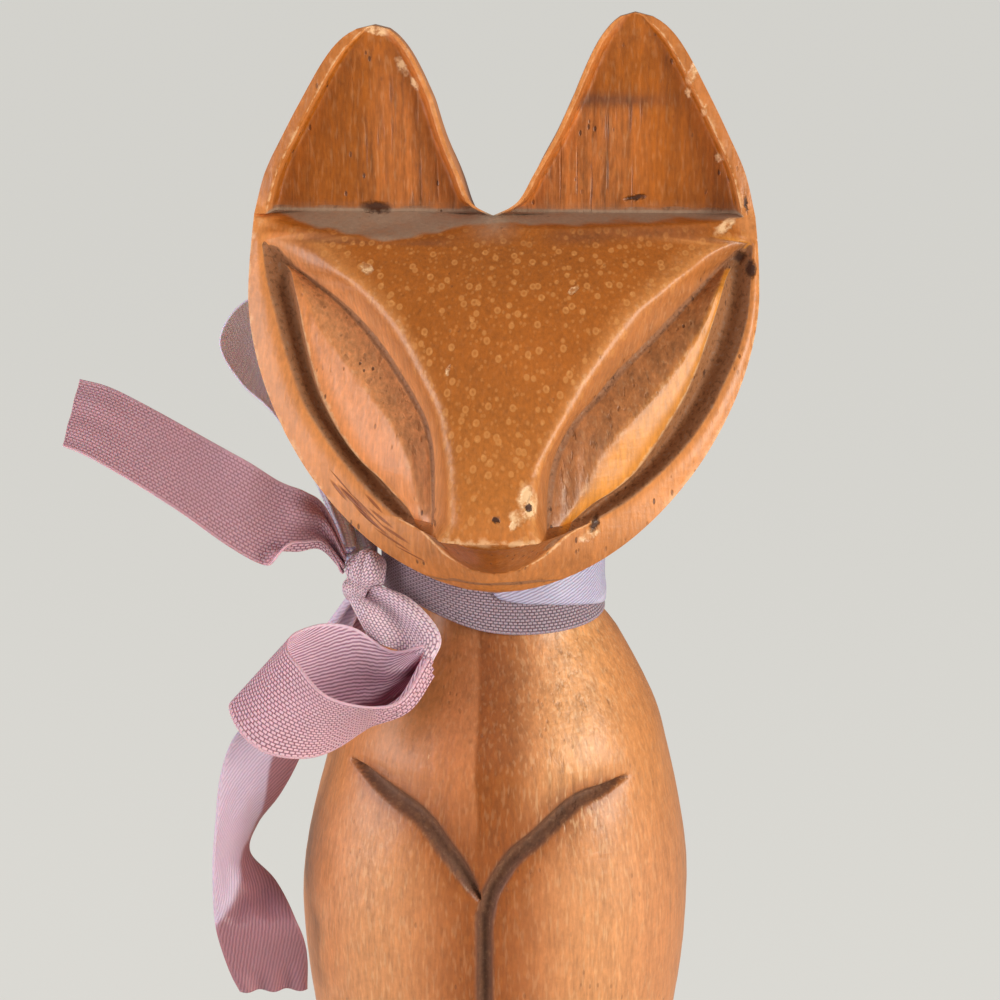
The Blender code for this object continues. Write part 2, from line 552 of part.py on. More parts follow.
def gouge_cutter(name, route):
    """A round tapering bar along a line on the body's front."""
    curve = bpy.data.curves.new(name, 'CURVE')
    curve.dimensions = '3D'
    curve.bevel_depth = GOUGE_RADIUS
    curve.bevel_resolution = 1
    curve.use_fill_caps = True
    spline = curve.splines.new('POLY')
    spline.points.add(len(route) - 1)
    for point, (x, z, width) in zip(spline.points, route):
        point.co = (*gouge_point(x, z, width), 1.0)
        point.radius = width
    tube = bpy.data.objects.new(name, curve)
    bpy.context.scene.collection.objects.link(tube)
    depsgraph = bpy.context.evaluated_depsgraph_get()
    shape = bmesh.new()
    shape.from_mesh(tube.evaluated_get(depsgraph).to_mesh())
    bpy.data.objects.remove(tube)
    bmesh.ops.remove_doubles(shape, verts=shape.verts, dist=1e-6)
    cutter = add_object(name, mesh_from(name, shape))
    hide_tool(cutter)
    return cutter


def cut(target, tool, operation):
    """Join or cut with an exact Boolean."""
    step = target.modifiers.new(operation.lower() + " " + tool.name, 'BOOLEAN')
    step.object = tool
    step.operation = operation
    step.solver = 'EXACT'


def wood():
    """Old varnished hardwood."""
    return plain_material("carved wood", (0.46, 0.17, 0.045, 1), 0.38)


def plain_material(name, colour, roughness):
    """A Principled material of one colour."""
    material = bpy.data.materials.new(name)
    material.use_nodes = True
    shader = material.node_tree.nodes["Principled BSDF"]
    shader.inputs["Base Color"].default_value = colour
    shader.inputs["Roughness"].default_value = roughness
    shader.inputs["Metallic"].default_value = 0.0
    return material


def build_figure():
    """The whole wooden figure as one solid."""
    gouges = [gouge_cutter(f"gouge_{number}", route) for number, route in enumerate(gouge_routes())]
    figure = add_object("cat_figure", mesh_from("cat_figure", build_body()), wood())
    head = add_object("head_blank", mesh_from("head_blank", build_head()))
    hide_tool(head)
    cut(figure, head, 'UNION')
    for gouge in gouges:
        cut(figure, gouge, 'DIFFERENCE')


# The ribbon
def knot_centre():
    """Centre of the knot, out from the neck's axis."""
    return Vector((KNOT_OUT * math.cos(KNOT_ANGLE), KNOT_OUT * math.sin(KNOT_ANGLE),
                   CHIN_HEIGHT - KNOT_DROP))


def spline_point(points, t):
    """Point at t, from 0 to 1, of a smooth curve through the points."""
    spans = len(points) - 1
    place = min(t * spans, spans - 1e-9)
    i = int(place)
    s = place - i
    a, b = points[i], points[i + 1]
    before = points[i - 1] if i else a * 2 - b
    after = points[i + 2] if i + 2 <= spans else b * 2 - a
    return 0.5 * (2 * a + (b - before) * s + (2 * before - 5 * a + 4 * b - after) * s * s
                  + (3 * a - before - 3 * b + after) * s ** 3)


def strip(name, stations, material, steps):
    """A flat strip of ribbon along stations of (centre, lean from one edge to the other)."""
    edges = [[centre + Vector(lean) * RIBBON_WIDTH / 2 * side for centre, lean in stations]
             for side in (-1, 1)]
    mesh = bmesh.new()
    made = bmesh.ops.create_grid(mesh, x_segments=steps, y_segments=2, size=1.0)
    for vertex in made["verts"]:
        t = (vertex.co.x + 1) / 2
        a, b = spline_point(edges[0], t), spline_point(edges[1], t)
        vertex.co = a + (b - a) * (vertex.co.y + 1) / 2
    thicken(add_object(name, mesh_from(name, mesh), material))


def beside_body(stations):
    """Stations given as degrees from the knot, height above it and distance out from the wood."""
    return [(body_point(KNOT_ANGLE + math.radians(turn), knot_centre().z + up, out), lean)
            for (turn, up, out), lean in stations]


def beside_knot(stations):
    """Stations given from the knot's centre."""
    return [(knot_centre() + Vector(place), lean) for place, lean in stations]


def band_point(angle, share):
    """Point on the neck band at an angle from +X and a share of the ribbon's width."""
    turn = (angle - KNOT_ANGLE + math.pi) % (2 * math.pi) - math.pi
    pull = bell(turn, BAND_PULL_SPREAD)
    low = CHIN_HEIGHT - BAND_DROP
    z = low + RIBBON_WIDTH * (share + BAND_GATHER * pull * (1 - 2 * share))
    z += (knot_centre().z - low - RIBBON_WIDTH / 2) * pull
    on_neck = body_reach(angle, z) + SEAT_GAP + BAND_EASE + RIBBON_THICKNESS / 2
    on_knot = KNOT_OUT - KNOT_RADIUS - SEAT_GAP - RIBBON_THICKNESS / 2
    reach = on_neck + max(0.0, on_knot - on_neck) * pull
    return Vector((body_axis(z) + reach * math.cos(angle), reach * math.sin(angle), z))


def neck_band(material):
    """The band round the neck, drawn out and gathered where it meets the knot."""
    rows = 4
    mesh = bmesh.new()
    for row in range(rows + 1):
        ring = bmesh.ops.create_circle(mesh, segments=BODY_SEGMENTS, radius=1.0)["verts"]
        for vertex in ring:
            vertex.co = band_point(math.atan2(vertex.co.y, vertex.co.x), row / rows)
    bmesh.ops.bridge_loops(mesh, edges=mesh.edges)
    bmesh.ops.recalc_face_normals(mesh, faces=mesh.faces)
    band = add_object("neck_band", mesh_from("neck_band", mesh), material)
    thicken(band)


def thicken(ribbon):
    """Give a sheet the ribbon's thickness, half to each side."""
    cloth = ribbon.modifiers.new("cloth", 'SOLIDIFY')
    cloth.thickness = RIBBON_THICKNESS
    cloth.offset = 0


def knot(material):
    """The knot: a small rounded cushion of ribbon."""
    mesh = bmesh.new()
    bmesh.ops.create_uvsphere(mesh, u_segments=16, v_segments=10, radius=KNOT_RADIUS)
    bmesh.ops.scale(mesh, vec=Vector((1.0, 0.94, 1.05)), verts=mesh.verts)
    bmesh.ops.translate(mesh, vec=knot_centre(), verts=mesh.verts)
    return add_object("knot", mesh_from("knot", mesh), material)


def build_ribbon():
    """The ribbon's stretches, each on its own."""
    satin = plain_material("satin ribbon", (0.42, 0.26, 0.34, 1), 0.55)
    neck_band(satin)
    knot(satin)
    strip("bow_tab", beside_body(BOW_TAB), satin, 10)
    strip("front_loop", beside_body(FRONT_LOOP), satin, 36)
    strip("hanging_tail", beside_body(HANGING_TAIL), satin, 26)
    strip("rear_loop", beside_knot(REAR_LOOP), satin, 36)
    strip("long_tail", beside_knot(LONG_TAIL), satin, 22)


def main():
    """Clear the scene and build the model."""
    for thing in list(bpy.data.objects):
        bpy.data.objects.remove(thing)
    build_figure()
    build_ribbon()


main()
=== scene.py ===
"""Looks of the carved wooden cat figurine with its ribbon bow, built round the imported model.

Metres, +Z up; the figure stands on Z = 0 and looks along -Y, so its own left side is +X.
"""

import logging
import math
from dataclasses import dataclass
from enum import Enum, IntEnum
from typing import Any, Callable, Iterable, Sequence

import bmesh
import bpy
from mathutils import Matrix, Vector, noise
from mathutils.kdtree import KDTree


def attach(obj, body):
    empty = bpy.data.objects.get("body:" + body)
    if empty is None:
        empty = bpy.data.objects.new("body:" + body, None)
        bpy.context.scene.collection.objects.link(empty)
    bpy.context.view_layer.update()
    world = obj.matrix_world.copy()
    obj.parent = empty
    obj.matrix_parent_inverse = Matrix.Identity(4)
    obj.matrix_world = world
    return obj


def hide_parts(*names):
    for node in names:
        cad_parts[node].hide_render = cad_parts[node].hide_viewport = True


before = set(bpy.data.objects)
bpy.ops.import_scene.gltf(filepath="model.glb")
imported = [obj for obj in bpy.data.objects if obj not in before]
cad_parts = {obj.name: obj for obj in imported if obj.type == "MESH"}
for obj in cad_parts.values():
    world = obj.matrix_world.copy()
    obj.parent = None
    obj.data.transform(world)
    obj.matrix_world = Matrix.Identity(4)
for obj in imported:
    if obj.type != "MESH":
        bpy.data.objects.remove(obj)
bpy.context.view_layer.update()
LOG = logging.getLogger("cat figurine")
CHIN_HEIGHT = 0.174
RIBBON_WIDTH = 0.012

Mesh = bmesh.types.BMesh
Vert = bmesh.types.BMVert
Piece = bpy.types.Object
Colour = tuple[float, float, float]
Point2 = tuple[float, float]
Point3 = tuple[float, float, float]
Curve = Sequence[Point2]


# Curves, noise and colours
def smooth(points: Curve, t: float) -> float:
    """Value of a monotone curve through points.

    Args:
        points: Pairs of a place and the value there, in order.
        t: The place to read.

    Returns:
        The value at t, held at the ends.
    """
    if t <= points[0][0]:
        return points[0][1]
    if t >= points[-1][0]:
        return points[-1][1]
    slopes = [(b[1] - a[1]) / (b[0] - a[0]) for a, b in zip(points, points[1:])]
    tangents = [slopes[0]]
    for before, after in zip(slopes, slopes[1:]):
        steady = before * after > 0
        tangents.append(2 * before * after / (before + after) if steady else 0.0)
    tangents.append(slopes[-1])
    i = max(k for k, point in enumerate(points[:-1]) if point[0] <= t)
    (t0, v0), (t1, v1) = points[i], points[i + 1]
    span = t1 - t0
    s = (t - t0) / span
    return ((2 * s ** 3 - 3 * s ** 2 + 1) * v0 + (s ** 3 - 2 * s ** 2 + s) * span * tangents[i]
            + (3 * s ** 2 - 2 * s ** 3) * v1 + (s ** 3 - s ** 2) * span * tangents[i + 1])


def spline_point(points: Sequence[Vector], t: float) -> Vector:
    """Point at t, from 0 to 1, of a smooth curve through the points."""
    spans = len(points) - 1
    place = min(t * spans, spans - 1e-9)
    i = int(place)
    s = place - i
    a, b = points[i], points[i + 1]
    before = points[i - 1] if i else a * 2 - b
    after = points[i + 2] if i + 2 <= spans else b * 2 - a
    return 0.5 * (2 * a + (b - before) * s + (2 * before - 5 * a + 4 * b - after) * s * s
                  + (3 * a - before - 3 * b + after) * s ** 3)


def ramp(low: float, high: float, value: float) -> float:
    """Smooth step from 0 at low to 1 at high."""
    t = max(0.0, min(1.0, (value - low) / (high - low)))
    return t * t * (3 - 2 * t)


def bell(offset: float, width: float) -> float:
    """1 at no offset, falling smoothly to nothing."""
    return math.exp(-(offset / width) ** 2)


def spread(low: float, high: float, count: int, power: float = 1.0) -> list[float]:
    """Values from low up to, but without, high, evenly spaced where power is 1."""
    if power == 1.0:
        return [low + (high - low) * k / count for k in range(count)]
    return [low + (high - low) * (k / count) ** (1 / power) for k in range(count)]


def grit(place: Vector, per_metre: float, seed: float = 0.0) -> float:
    """Noise from about -1 to 1 at a place, with that many features to the metre."""
    return noise.noise(place * per_metre + Vector((seed, 2 * seed, -seed)))


def srgb(red: float, green: float, blue: float) -> Colour:
    """Linear colour from the usual 0 to 255 values."""
    shares = [value / 255 for value in (red, green, blue)]
    linear = [s / 12.92 if s <= 0.04045 else ((s + 0.055) / 1.055) ** 2.4 for s in shares]
    return linear[0], linear[1], linear[2]


def blend(a: Colour, b: Colour, share: float) -> Colour:
    """Colour between two others."""
    red, green, blue = (p + (q - p) * share for p, q in zip(a, b))
    return red, green, blue


def layered(tint: Colour, *layers: tuple[Colour, float]) -> Colour:
    """Tint with others laid over it, each by its share."""
    for over, share in layers:
        tint = blend(tint, over, share)
    return tint


# Shaders
class Value:
    """A shader socket or a number, joined by Python's operators."""

    def __init__(self, tree: "Shader", source: Any) -> None:
        """Keep the tree that new Math nodes go to, and the socket or number."""
        self.tree = tree
        self.source = source

    def _join(self, operation: str, *others: Any, first: Any = None) -> "Value":
        """Result of a Math node.

        Args:
            operation: The Math node's operation.
            others: The other operands.
            first: An operand that comes before this value.

        Returns:
            The node's value.
        """
        operands = ([first] if first is not None else []) + [self, *others]
        return self.tree.node("ShaderNodeMath", {"operation": operation}, dict(enumerate(operands)))

    def __add__(self, other: Any) -> "Value":
        """This value and another."""
        return self._join('ADD', other)

    __radd__ = __add__

    def __mul__(self, other: Any) -> "Value":
        """This value times another."""
        return self._join('MULTIPLY', other)

    __rmul__ = __mul__

    def __sub__(self, other: Any) -> "Value":
        """This value less another."""
        return self._join('SUBTRACT', other)

    def __rsub__(self, other: Any) -> "Value":
        """Another value less this one."""
        return self._join('SUBTRACT', first=other)

    def __abs__(self) -> "Value":
        """Size of this value."""
        return self._join('ABSOLUTE')

    def sine(self) -> "Value":
        """Sine of this value."""
        return self._join('SINE')

    def step(self, low: float, high: float) -> "Value":
        """Smooth step from 0 at low to 1 at high, or down where high is the lower."""
        settings = {"interpolation_type": 'SMOOTHSTEP'}
        if low <= high:
            return self.tree.node("ShaderNodeMapRange", settings, {0: self, 1: low, 2: high})
        return self.tree.node("ShaderNodeMapRange", settings,
                              {0: self, 1: high, 2: low, 3: 1.0, 4: 0.0})


class Shader:
    """A Principled material whose nodes are laid out by expressions."""

    def __init__(self, name: str, **sockets: Any) -> None:
        """Start a material.

        Args:
            name: The material's name.
            sockets: Uniform values of the Principled shader, with _ for a space.
        """
        self.material = bpy.data.materials.new(name)
        self.material.use_nodes = True
        self.nodes = self.material.node_tree.nodes
        self.links = self.material.node_tree.links
        self.principled = self.nodes["Principled BSDF"]
        self.set(**sockets)

    def set(self, **sockets: Any) -> None:
        """Give the Principled shader's sockets values or links."""
        for name, value in sockets.items():
            self._feed(self.principled.inputs[name.replace("_", " ")], value)

    def _feed(self, socket: bpy.types.NodeSocket, value: Any) -> None:
        """Link a shader value to a socket, or set a plain one on it."""
        source = value.source if isinstance(value, Value) else value
        if isinstance(source, bpy.types.NodeSocket):
            self.links.new(source, socket)
        elif socket.type == 'RGBA' and len(source) == 3:
            socket.default_value = (*source, 1.0)
        else:
            socket.default_value = source

    def node(self, kind: str, settings: dict[str, Any], sockets: dict[Any, Any],
             output: Any = 0) -> Value:
        """Add a node.

        Args:
            kind: The node's type.
            settings: Its settings, which are set first.
            sockets: Values or links of its input sockets, by name or number.
            output: Name or number of the output that is returned.

        Returns:
            The value of that output.
        """
        made = self.nodes.new(kind)
        for name, value in settings.items():
            setattr(made, name, value)
        for name, value in sockets.items():
            self._feed(made.inputs[name], value)
        return Value(self, made.outputs[output])

    def mix(self, share: Any, a: Any, b: Any) -> Value:
        """Colour between two others."""
        return self.node("ShaderNodeMix", {"data_type": 'RGBA'}, {0: share, 6: a, 7: b}, 2)

    def tone(self, colour: Any, strength: Any) -> Value:
        """Colour made darker or lighter."""
        return self.vector('SCALE', {0: colour, "Scale": strength})

    def vector(self, operation: str, sockets: dict[Any, Any], output: Any = 0) -> Value:
        """Result of a Vector Math node."""
        return self.node("ShaderNodeVectorMath", {"operation": operation}, sockets, output)

    def clouds(self, vector: Any, scales: Any, detail: float = 2.0, rough: float = 0.5) -> Value:
        """Noise from 0 to 1, with one scale or with one for each axis."""
        sockets = {"Vector": vector, "Scale": scales, "Detail": detail, "Roughness": rough}
        if isinstance(scales, tuple):
            sockets |= {"Vector": self.stretched(vector, scales), "Scale": 1.0}
        return self.node("ShaderNodeTexNoise", {}, sockets)

    def cells(self, vector: Any, scales: Point3) -> Value:
        """Distance to the nearest of scattered points."""
        return self.node("ShaderNodeTexVoronoi", {},
                         {"Vector": self.stretched(vector, scales), "Scale": 1.0})

    def stretched(self, vector: Any, scales: Point3) -> Value:
        """Vector with a scale for each axis."""
        return self.node("ShaderNodeMapping", {}, {"Vector": vector, "Scale": scales})

    def place(self) -> Value:
        """Object coordinates."""
        return self.node("ShaderNodeTexCoord", {}, {}, "Object")

    def painted(self, name: str) -> tuple[Value, Value, Value, Value]:
        """A painted attribute as a colour and its three parts."""
        colour = self.node("ShaderNodeAttribute", {"attribute_name": name}, {}, "Color")
        parts = self.node("ShaderNodeSeparateColor", {}, {0: colour})
        outputs = parts.source.node.outputs
        return colour, Value(self, outputs[0]), Value(self, outputs[1]), Value(self, outputs[2])

    def bump(self, height: Any, distance: float, strength: float) -> Value:
        """Normal of a surface with that height on it."""
        return self.node("ShaderNodeBump", {},
                         {"Height": height, "Distance": distance, "Strength": strength})


class Blemish(Enum):
    """Kinds of local damage in the wood."""
    CHIP = "chip"
    HOLE = "hole"
    SCRATCH = "scratch"


# Place and half sizes in millimetres, and turn about Y in degrees, of each blemish
BLEMISHES: dict[Blemish, tuple[tuple[Point3, Point3, float], ...]] = {
    Blemish.CHIP: (
        ((-19.4, -9.5, 218.5), (1.0, 3.0, 0.7), 25), ((-6.8, -20.2, 206.0), (0.3, 3.0, 0.8), 10),
        ((10.5, -12.5, 216.1), (0.9, 3.0, 0.3), -30), ((4.6, -31.2, 190.8), (0.7, 3.0, 1.4), 15),
        ((5.2, -32.2, 188.5), (1.1, 3.0, 0.6), -20), ((3.0, -33.0, 187.2), (0.5, 3.0, 0.6), 0),
        ((5.0, -31.2, 190.0), (1.5, 3.0, 2.4), -12), ((3.6, -32.8, 188.2), (1.3, 3.0, 1.0), 20),
        ((13.3, -22.2, 182.7), (1.7, 4.0, 0.8), -25), ((33.0, -4.0, 224.5), (2.8, 4.0, 0.8), -38),
        ((27.2, -0.1, 245.6), (0.7, 4.0, 2.0), 24), ((26.6, 0.0, 242.5), (0.5, 4.0, 0.9), 0),
        ((29.0, 0.4, 240.2), (0.4, 4.0, 1.0), 10), ((31.3, 1.0, 233.2), (0.7, 4.0, 0.7), 0),
        ((-15.0, 0.5, 246.2), (0.7, 4.0, 1.6), -28), ((-13.2, 0.5, 243.8), (0.5, 4.0, 1.2), -28),
        ((-18.6, 0.0, 251.5), (2.0, 4.0, 0.7), 12), ((-10.0, -24.0, 148.0), (0.2, 3.0, 0.6), 20)),
    Blemish.HOLE: (
        ((0.6, -33.4, 188.0), (0.5, 3.0, 0.5), 0), ((5.0, -31.8, 189.3), (0.7, 3.0, 0.4), 30),
        ((-8.1, -25.2, 185.4), (0.5, 3.0, 0.4), 0), ((34.6, -4.3, 219.4), (1.0, 4.0, 1.1), -20),
        ((36.2, -4.3, 218.0), (0.8, 4.0, 1.3), 0), ((14.0, -21.9, 184.2), (0.6, 3.0, 1.3), 20),
        ((-19.2, 1.0, 225.7), (2.6, 4.0, 0.9), 4), ((19.2, 1.0, 227.3), (1.7, 4.0, 0.5), -8),
        ((35.3, 0.5, 227.0), (0.3, 4.0, 1.6), -10)),
    Blemish.SCRATCH: (
        ((-20.5, -18.5, 186.2), (3.4, 3.0, 0.18), 38), ((-17.5, -20.0, 183.2), (3.0, 3.0, 0.2), 34),
        ((-18.8, -19.5, 185.2), (4.0, 3.0, 0.14), 40),
        ((-22.4, -16.5, 188.4), (2.6, 3.0, 0.14), 44),
        ((-14.8, -21.5, 181.2), (3.2, 3.0, 0.16), 28),
        ((-12.0, -22.0, 179.4), (2.6, 3.0, 0.12), 22),
        ((-21.0, -18.5, 186.3), (3.0, 3.0, 0.26), 40), ((-18.9, -19.6, 184.3), (2.4, 3.0, 0.3), 38),
        ((-16.5, -20.6, 184.2), (2.2, 3.0, 0.22), 34),
        ((-17.6, -19.8, 186.2), (1.8, 3.0, 0.24), 42),
        ((-23.0, -17.6, 187.4), (2.0, 3.0, 0.28), 46),
        ((-14.5, -21.6, 182.2), (2.6, 3.0, 0.22), 28)),
}


@dataclass(frozen=True)
class CarvedWood:
    """Old varnished hardwood: upright grain, end-grain dots, dusty gouges and chipped edges."""
    roughness: float = 0.40
    coat: float = 0.12
    dirt: Colour = srgb(142, 94, 62)
    soot: Colour = srgb(60, 34, 20)
    pearl_lit: Colour = srgb(240, 194, 146)
    fleck: Colour = srgb(214, 144, 78)
    pit: Colour = srgb(72, 38, 18)
    torn: Colour = srgb(138, 70, 34)
    dust: Colour = srgb(158, 130, 108)

    def make(self) -> bpy.types.Material:
        """Material that reads the painted tint, marks and grain."""
        shader = Shader("carved_wood", Coat_Roughness=0.28, IOR=1.42)
        place = shader.place()
        tint = shader.painted("tint")[0]
        _, near_groove, edge, dust = shader.painted("marks")
        _, streaky, dotted, pitted = shader.painted("grain")
        mottle = shader.clouds(place, 60, 3.0, 0.55)
        streaks = shader.clouds(place, (620, 620, 26), 3.0, 0.62)
        fibres = shader.clouds(place, (1900, 1900, 420), 2.0, 0.55)
        ripple = shader.clouds(place, (300, 300, 1500), 1.0)
        speckle = shader.clouds(place, 1500, 2.0, 0.6)
        fine = shader.clouds(place, 620, 3.0, 0.65)
        deep = near_groove.step(0.15, 0.45)
        groove = (near_groove + (speckle - 0.5) * 0.08).step(0.44, 0.56)
        worn = edge * (fine * 0.9 + edge * 0.30).step(0.54, 0.74)
        dusty = (dust * (0.55 + shader.clouds(place, 420, 3.0, 0.6) * 0.9)).step(0.15, 0.95)
        dots = self.end_grain(shader, place) * dotted
        holes = shader.cells(place, (760, 760, 330)).step(0.19, 0.10)
        holes = holes * shader.clouds(place, 130, 2.0).step(0.50, 0.62) * pitted
        # Pale grain dashes, raised by the painted grain where the chest's highlights are painted,
        # so partly painted glints.
        dashes_and_glints = shader.clouds(place, (2000, 2000, 400), 1.0).step(0.52, 0.72)
        dashes_and_glints = dashes_and_glints * (streaky * 1.3).step(0.0, 1.0) * (1 - pitted) * (1 - deep)
        cracks = shader.clouds(place, (1150, 1150, 60), 2.0, 0.5).step(0.58, 0.72)
        cracks = cracks * (streaky - 0.3).step(0.0, 0.7)
        chips, dents, scratches = self.damage(shader, place)
        grain = (streaks - 0.5) * streaky * 1.6 + (fibres - 0.5) * (0.56 + streaky * 0.30)
        grain = grain + (speckle - 0.5) * 0.22
        colour = shader.tone(tint, 0.96 + (mottle - 0.5) * 0.40 + (fine - 0.5) * 0.18 + grain)
        for share, over in (
                (dots, self.fleck), (dashes_and_glints * 0.56, self.pearl_lit), (cracks * 0.45, self.pit),
                (worn * 0.9, self.pearl_lit), (groove * (0.66 + speckle * 0.42), self.dirt),
                (groove * speckle.step(0.50, 0.34) * 0.45, self.soot),
                (groove * speckle.step(0.58, 0.70) * 0.35, self.dust),
                (dusty, shader.tone(self.dust, 0.80 + speckle * 0.4)),
                (chips * (0.15 + fine.step(0.38, 0.60) * 0.85), self.pearl_lit),
                (holes + dents - holes * dents, self.pit), (scratches * 0.85, self.torn)):
            colour = shader.mix(share, colour, over)
        rough = self.roughness + (mottle - 0.5) * 0.14 + deep * 0.30 + dusty * 0.38 + worn * 0.12
        height = (fibres * 0.70 + ripple * 0.45 + streaks * streaky * 1.1 - holes * 1.4
                  - dents * 4.0 - cracks + speckle * (0.20 + groove * 0.8) + fine * 0.6
                  - chips * 1.2 - dots * 0.4 - scratches)
        shader.set(Base_Color=colour, Roughness=rough, Coat_Weight=self.coat * (1 - deep),
                   Normal=shader.bump(height, 0.00014, 0.65))
        return shader.material

    def end_grain(self, shader: Shader, place: Value) -> Value:
        """Mask of the end grain: ringed dots, and small ones between them."""
        pores = shader.cells(place, (620, 620, 400))
        rings = pores.step(0.36, 0.24) * (pores.step(0.05, 0.20) * 0.65 + 0.35)
        rings = rings * shader.clouds(place, 260, 2.0).step(0.10, 0.40) * 0.58
        return rings + shader.cells(place, (1150, 1150, 640)).step(0.34, 0.16) * 0.34

    def damage(self, shader: Shader, place: Value) -> list[Value]:
        """Masks of the chips and holes, with rough outlines, and of the scratches."""
        rough = shader.node("ShaderNodeTexNoise", {}, {"Vector": place, "Scale": 1500.0}, "Color")
        rough = shader.tone(shader.vector('SUBTRACT', {0: rough, 1: (0.5, 0.5, 0.5)}), 0.0009)
        ragged = shader.vector('ADD', {0: place, 1: rough})
        masks = []
        for kind, spots in BLEMISHES.items():
            mask: Any = 0.0
            for centre, sizes, turn in spots:
                spot = shader.node("ShaderNodeMapping", {"vector_type": 'TEXTURE'},
                                   {"Vector": place if kind is Blemish.SCRATCH else ragged,
                                    "Location": [value / 1000 for value in centre],
                                    "Scale": [value / 1000 for value in sizes],
                                    "Rotation": (0.0, math.radians(turn), 0.0)})
                mask = shader.vector('LENGTH', {0: spot}, "Value").step(1.20, 0.55) + mask
            masks.append(mask)
        return masks


class Tone(Enum):
    """Colours of the ribbon's floats and of the gaps between them, shifted towards another tone
    along some stretches; one is a lightened copy of another that paints light on a shaded face.
    """
    ROSE = (srgb(230, 186, 200), srgb(146, 96, 112))
    BLUSH = (srgb(246, 212, 228), srgb(160, 112, 134))
    MAUVE = (srgb(202, 156, 167), srgb(158, 110, 122))
    PLUM = (srgb(244, 214, 226), srgb(160, 128, 146))
    GREY = (srgb(168, 146, 158), srgb(94, 74, 86))
    LILAC = (srgb(196, 190, 216), srgb(146, 138, 164))
    PEARL = (srgb(222, 212, 232), srgb(176, 164, 192))
    # A lightened copy of the pearl tone: painted light for the rear loop's inner face, which lies
    # in the head's shade.
    PEARL_LIT = (srgb(252, 246, 252), srgb(236, 226, 240))
    MIST = (srgb(206, 186, 208), srgb(180, 160, 184))
    DUSK = (srgb(166, 116, 126), srgb(134, 90, 100))
    WINE = (srgb(122, 34, 60), srgb(86, 18, 40))


class Face(Enum):
    """The two faces of the ribbon."""
    SATIN = "satin"
    BASKET = "basket"


Look = tuple[Face, Tone]


@dataclass(frozen=True)
class RibbonCloth:
    """Woven ribbon: long diagonal floats on the satin face, small staggered floats on the other."""
    width: float = RIBBON_WIDTH
    thread: float = 0.00076
    row: float = 0.00047
    ridge: float = 0.00053
    slant: float = 0.40
    hem: float = 0.0005

    def make(self, look: Look, shifted: Tone) -> bpy.types.Material:
        """Material of one face.

        Args:
            look: Which face of the ribbon, and its colour.
            shifted: The colour that it turns to where the piece's tone shift is painted.

        Returns:
            The material, which reads the piece's UV map in metres.
        """
        face, tone = look
        shiny = face is Face.SATIN
        shader = Shader(f"ribbon_{face.value}_{tone.name.lower()}_{shifted.name.lower()}", IOR=1.45,
                        Sheen_Weight=0.15 if shiny else 0.25, Sheen_Roughness=0.4,
                        Subsurface_Weight=0.25, Subsurface_Scale=0.0008,
                        Sheen_Tint=(*tone.value[0], 1.0))
        age = shader.painted("age")[1]
        light, dark = (shader.mix(age, fresh, old) for fresh, old in zip(tone.value, shifted.value))
        uv = shader.node("ShaderNodeTexCoord", {}, {}, "UV")
        along = shader.node("ShaderNodeSeparateXYZ", {}, {0: uv})
        across = Value(shader, along.source.node.outputs[1])
        wobble = (shader.clouds(uv, 900, 2.0) - 0.5) * 0.0003
        if shiny:
            lines = (across + along * self.slant + wobble) * (math.tau / self.ridge)
            lines = lines.sine() * 0.5 + 0.5
            floats = shader.clouds(uv, (520, 2400, 1), 1.0)
            height = lines + floats * 0.3
            share = (lines * 0.85 + floats * 0.30).step(0.05, 1.05)
            depth, rough = 0.00005, 0.40
        else:
            row = ((across + wobble * 0.5) * (math.pi / self.row)).sine()
            turn = (along + wobble) * (math.pi / self.thread)
            odd = row.step(-0.05, 0.05)
            float_high = abs(turn.sine()) * odd + abs((turn + math.pi / 2).sine()) * (1 - odd)
            dots = abs(row).step(0.05, 0.75) * float_high.step(0.05, 0.60)
            height = dots + float_high * 0.3
            share = dots * (0.70 + shader.clouds(uv, 1600, 1.0) * 0.6)
            depth, rough = 0.00012, 0.60
        half = self.width / 2
        hem = abs(across - half).step(half - self.hem, half - self.hem / 2)
        share = share + hem * (0.9 - share)
        stain = shader.clouds(uv, 110, 3.0, 0.6)
        colour = shader.tone(shader.mix(share, dark, light), 0.88 + stain * 0.24)
        shader.set(Base_Color=colour, Roughness=rough + (stain - 0.5) * 0.1,
                   Normal=shader.bump(height, depth, 0.9))
        return shader.material


# Meshes
def new_mesh(layers: Iterable[str] = ()) -> Mesh:
    """An empty bmesh with colour layers of these names on its vertices."""
    mesh = bmesh.new()
    for name in layers:
        mesh.verts.layers.float_color.new(name)
    return mesh


def lay_grid(mesh: Mesh, columns: int, rows: int, place: Callable[[Vert, int, int], None]) -> None:
    """Add a grid and lay its vertices.

    Args:
        mesh: The mesh that gets the grid.
        columns: Faces from side to side.
        rows: Faces from end to end.
        place: Called with each vertex, its column and its row, to move it.
    """
    made = bmesh.ops.create_grid(mesh, x_segments=columns, y_segments=rows, size=1.0)
    for vertex in made["verts"]:
        column = round((vertex.co.x + 1) / 2 * columns)
        row = round((vertex.co.y + 1) / 2 * rows)
        place(vertex, column, row)


def new_cloth() -> Mesh:
    """An empty bmesh with the layers that the ribbon's material reads."""
    mesh = new_mesh(["age"])
    mesh.loops.layers.uv.new("UVMap")
    return mesh


def lay_uvs(mesh: Mesh, places: dict[Vert, Point2]) -> None:
    """Map each vertex to its place on the flat cloth."""
    uv = mesh.loops.layers.uv["UVMap"]
    for face in mesh.faces:
        for loop in face.loops:
            loop[uv].uv = places[loop.vert]


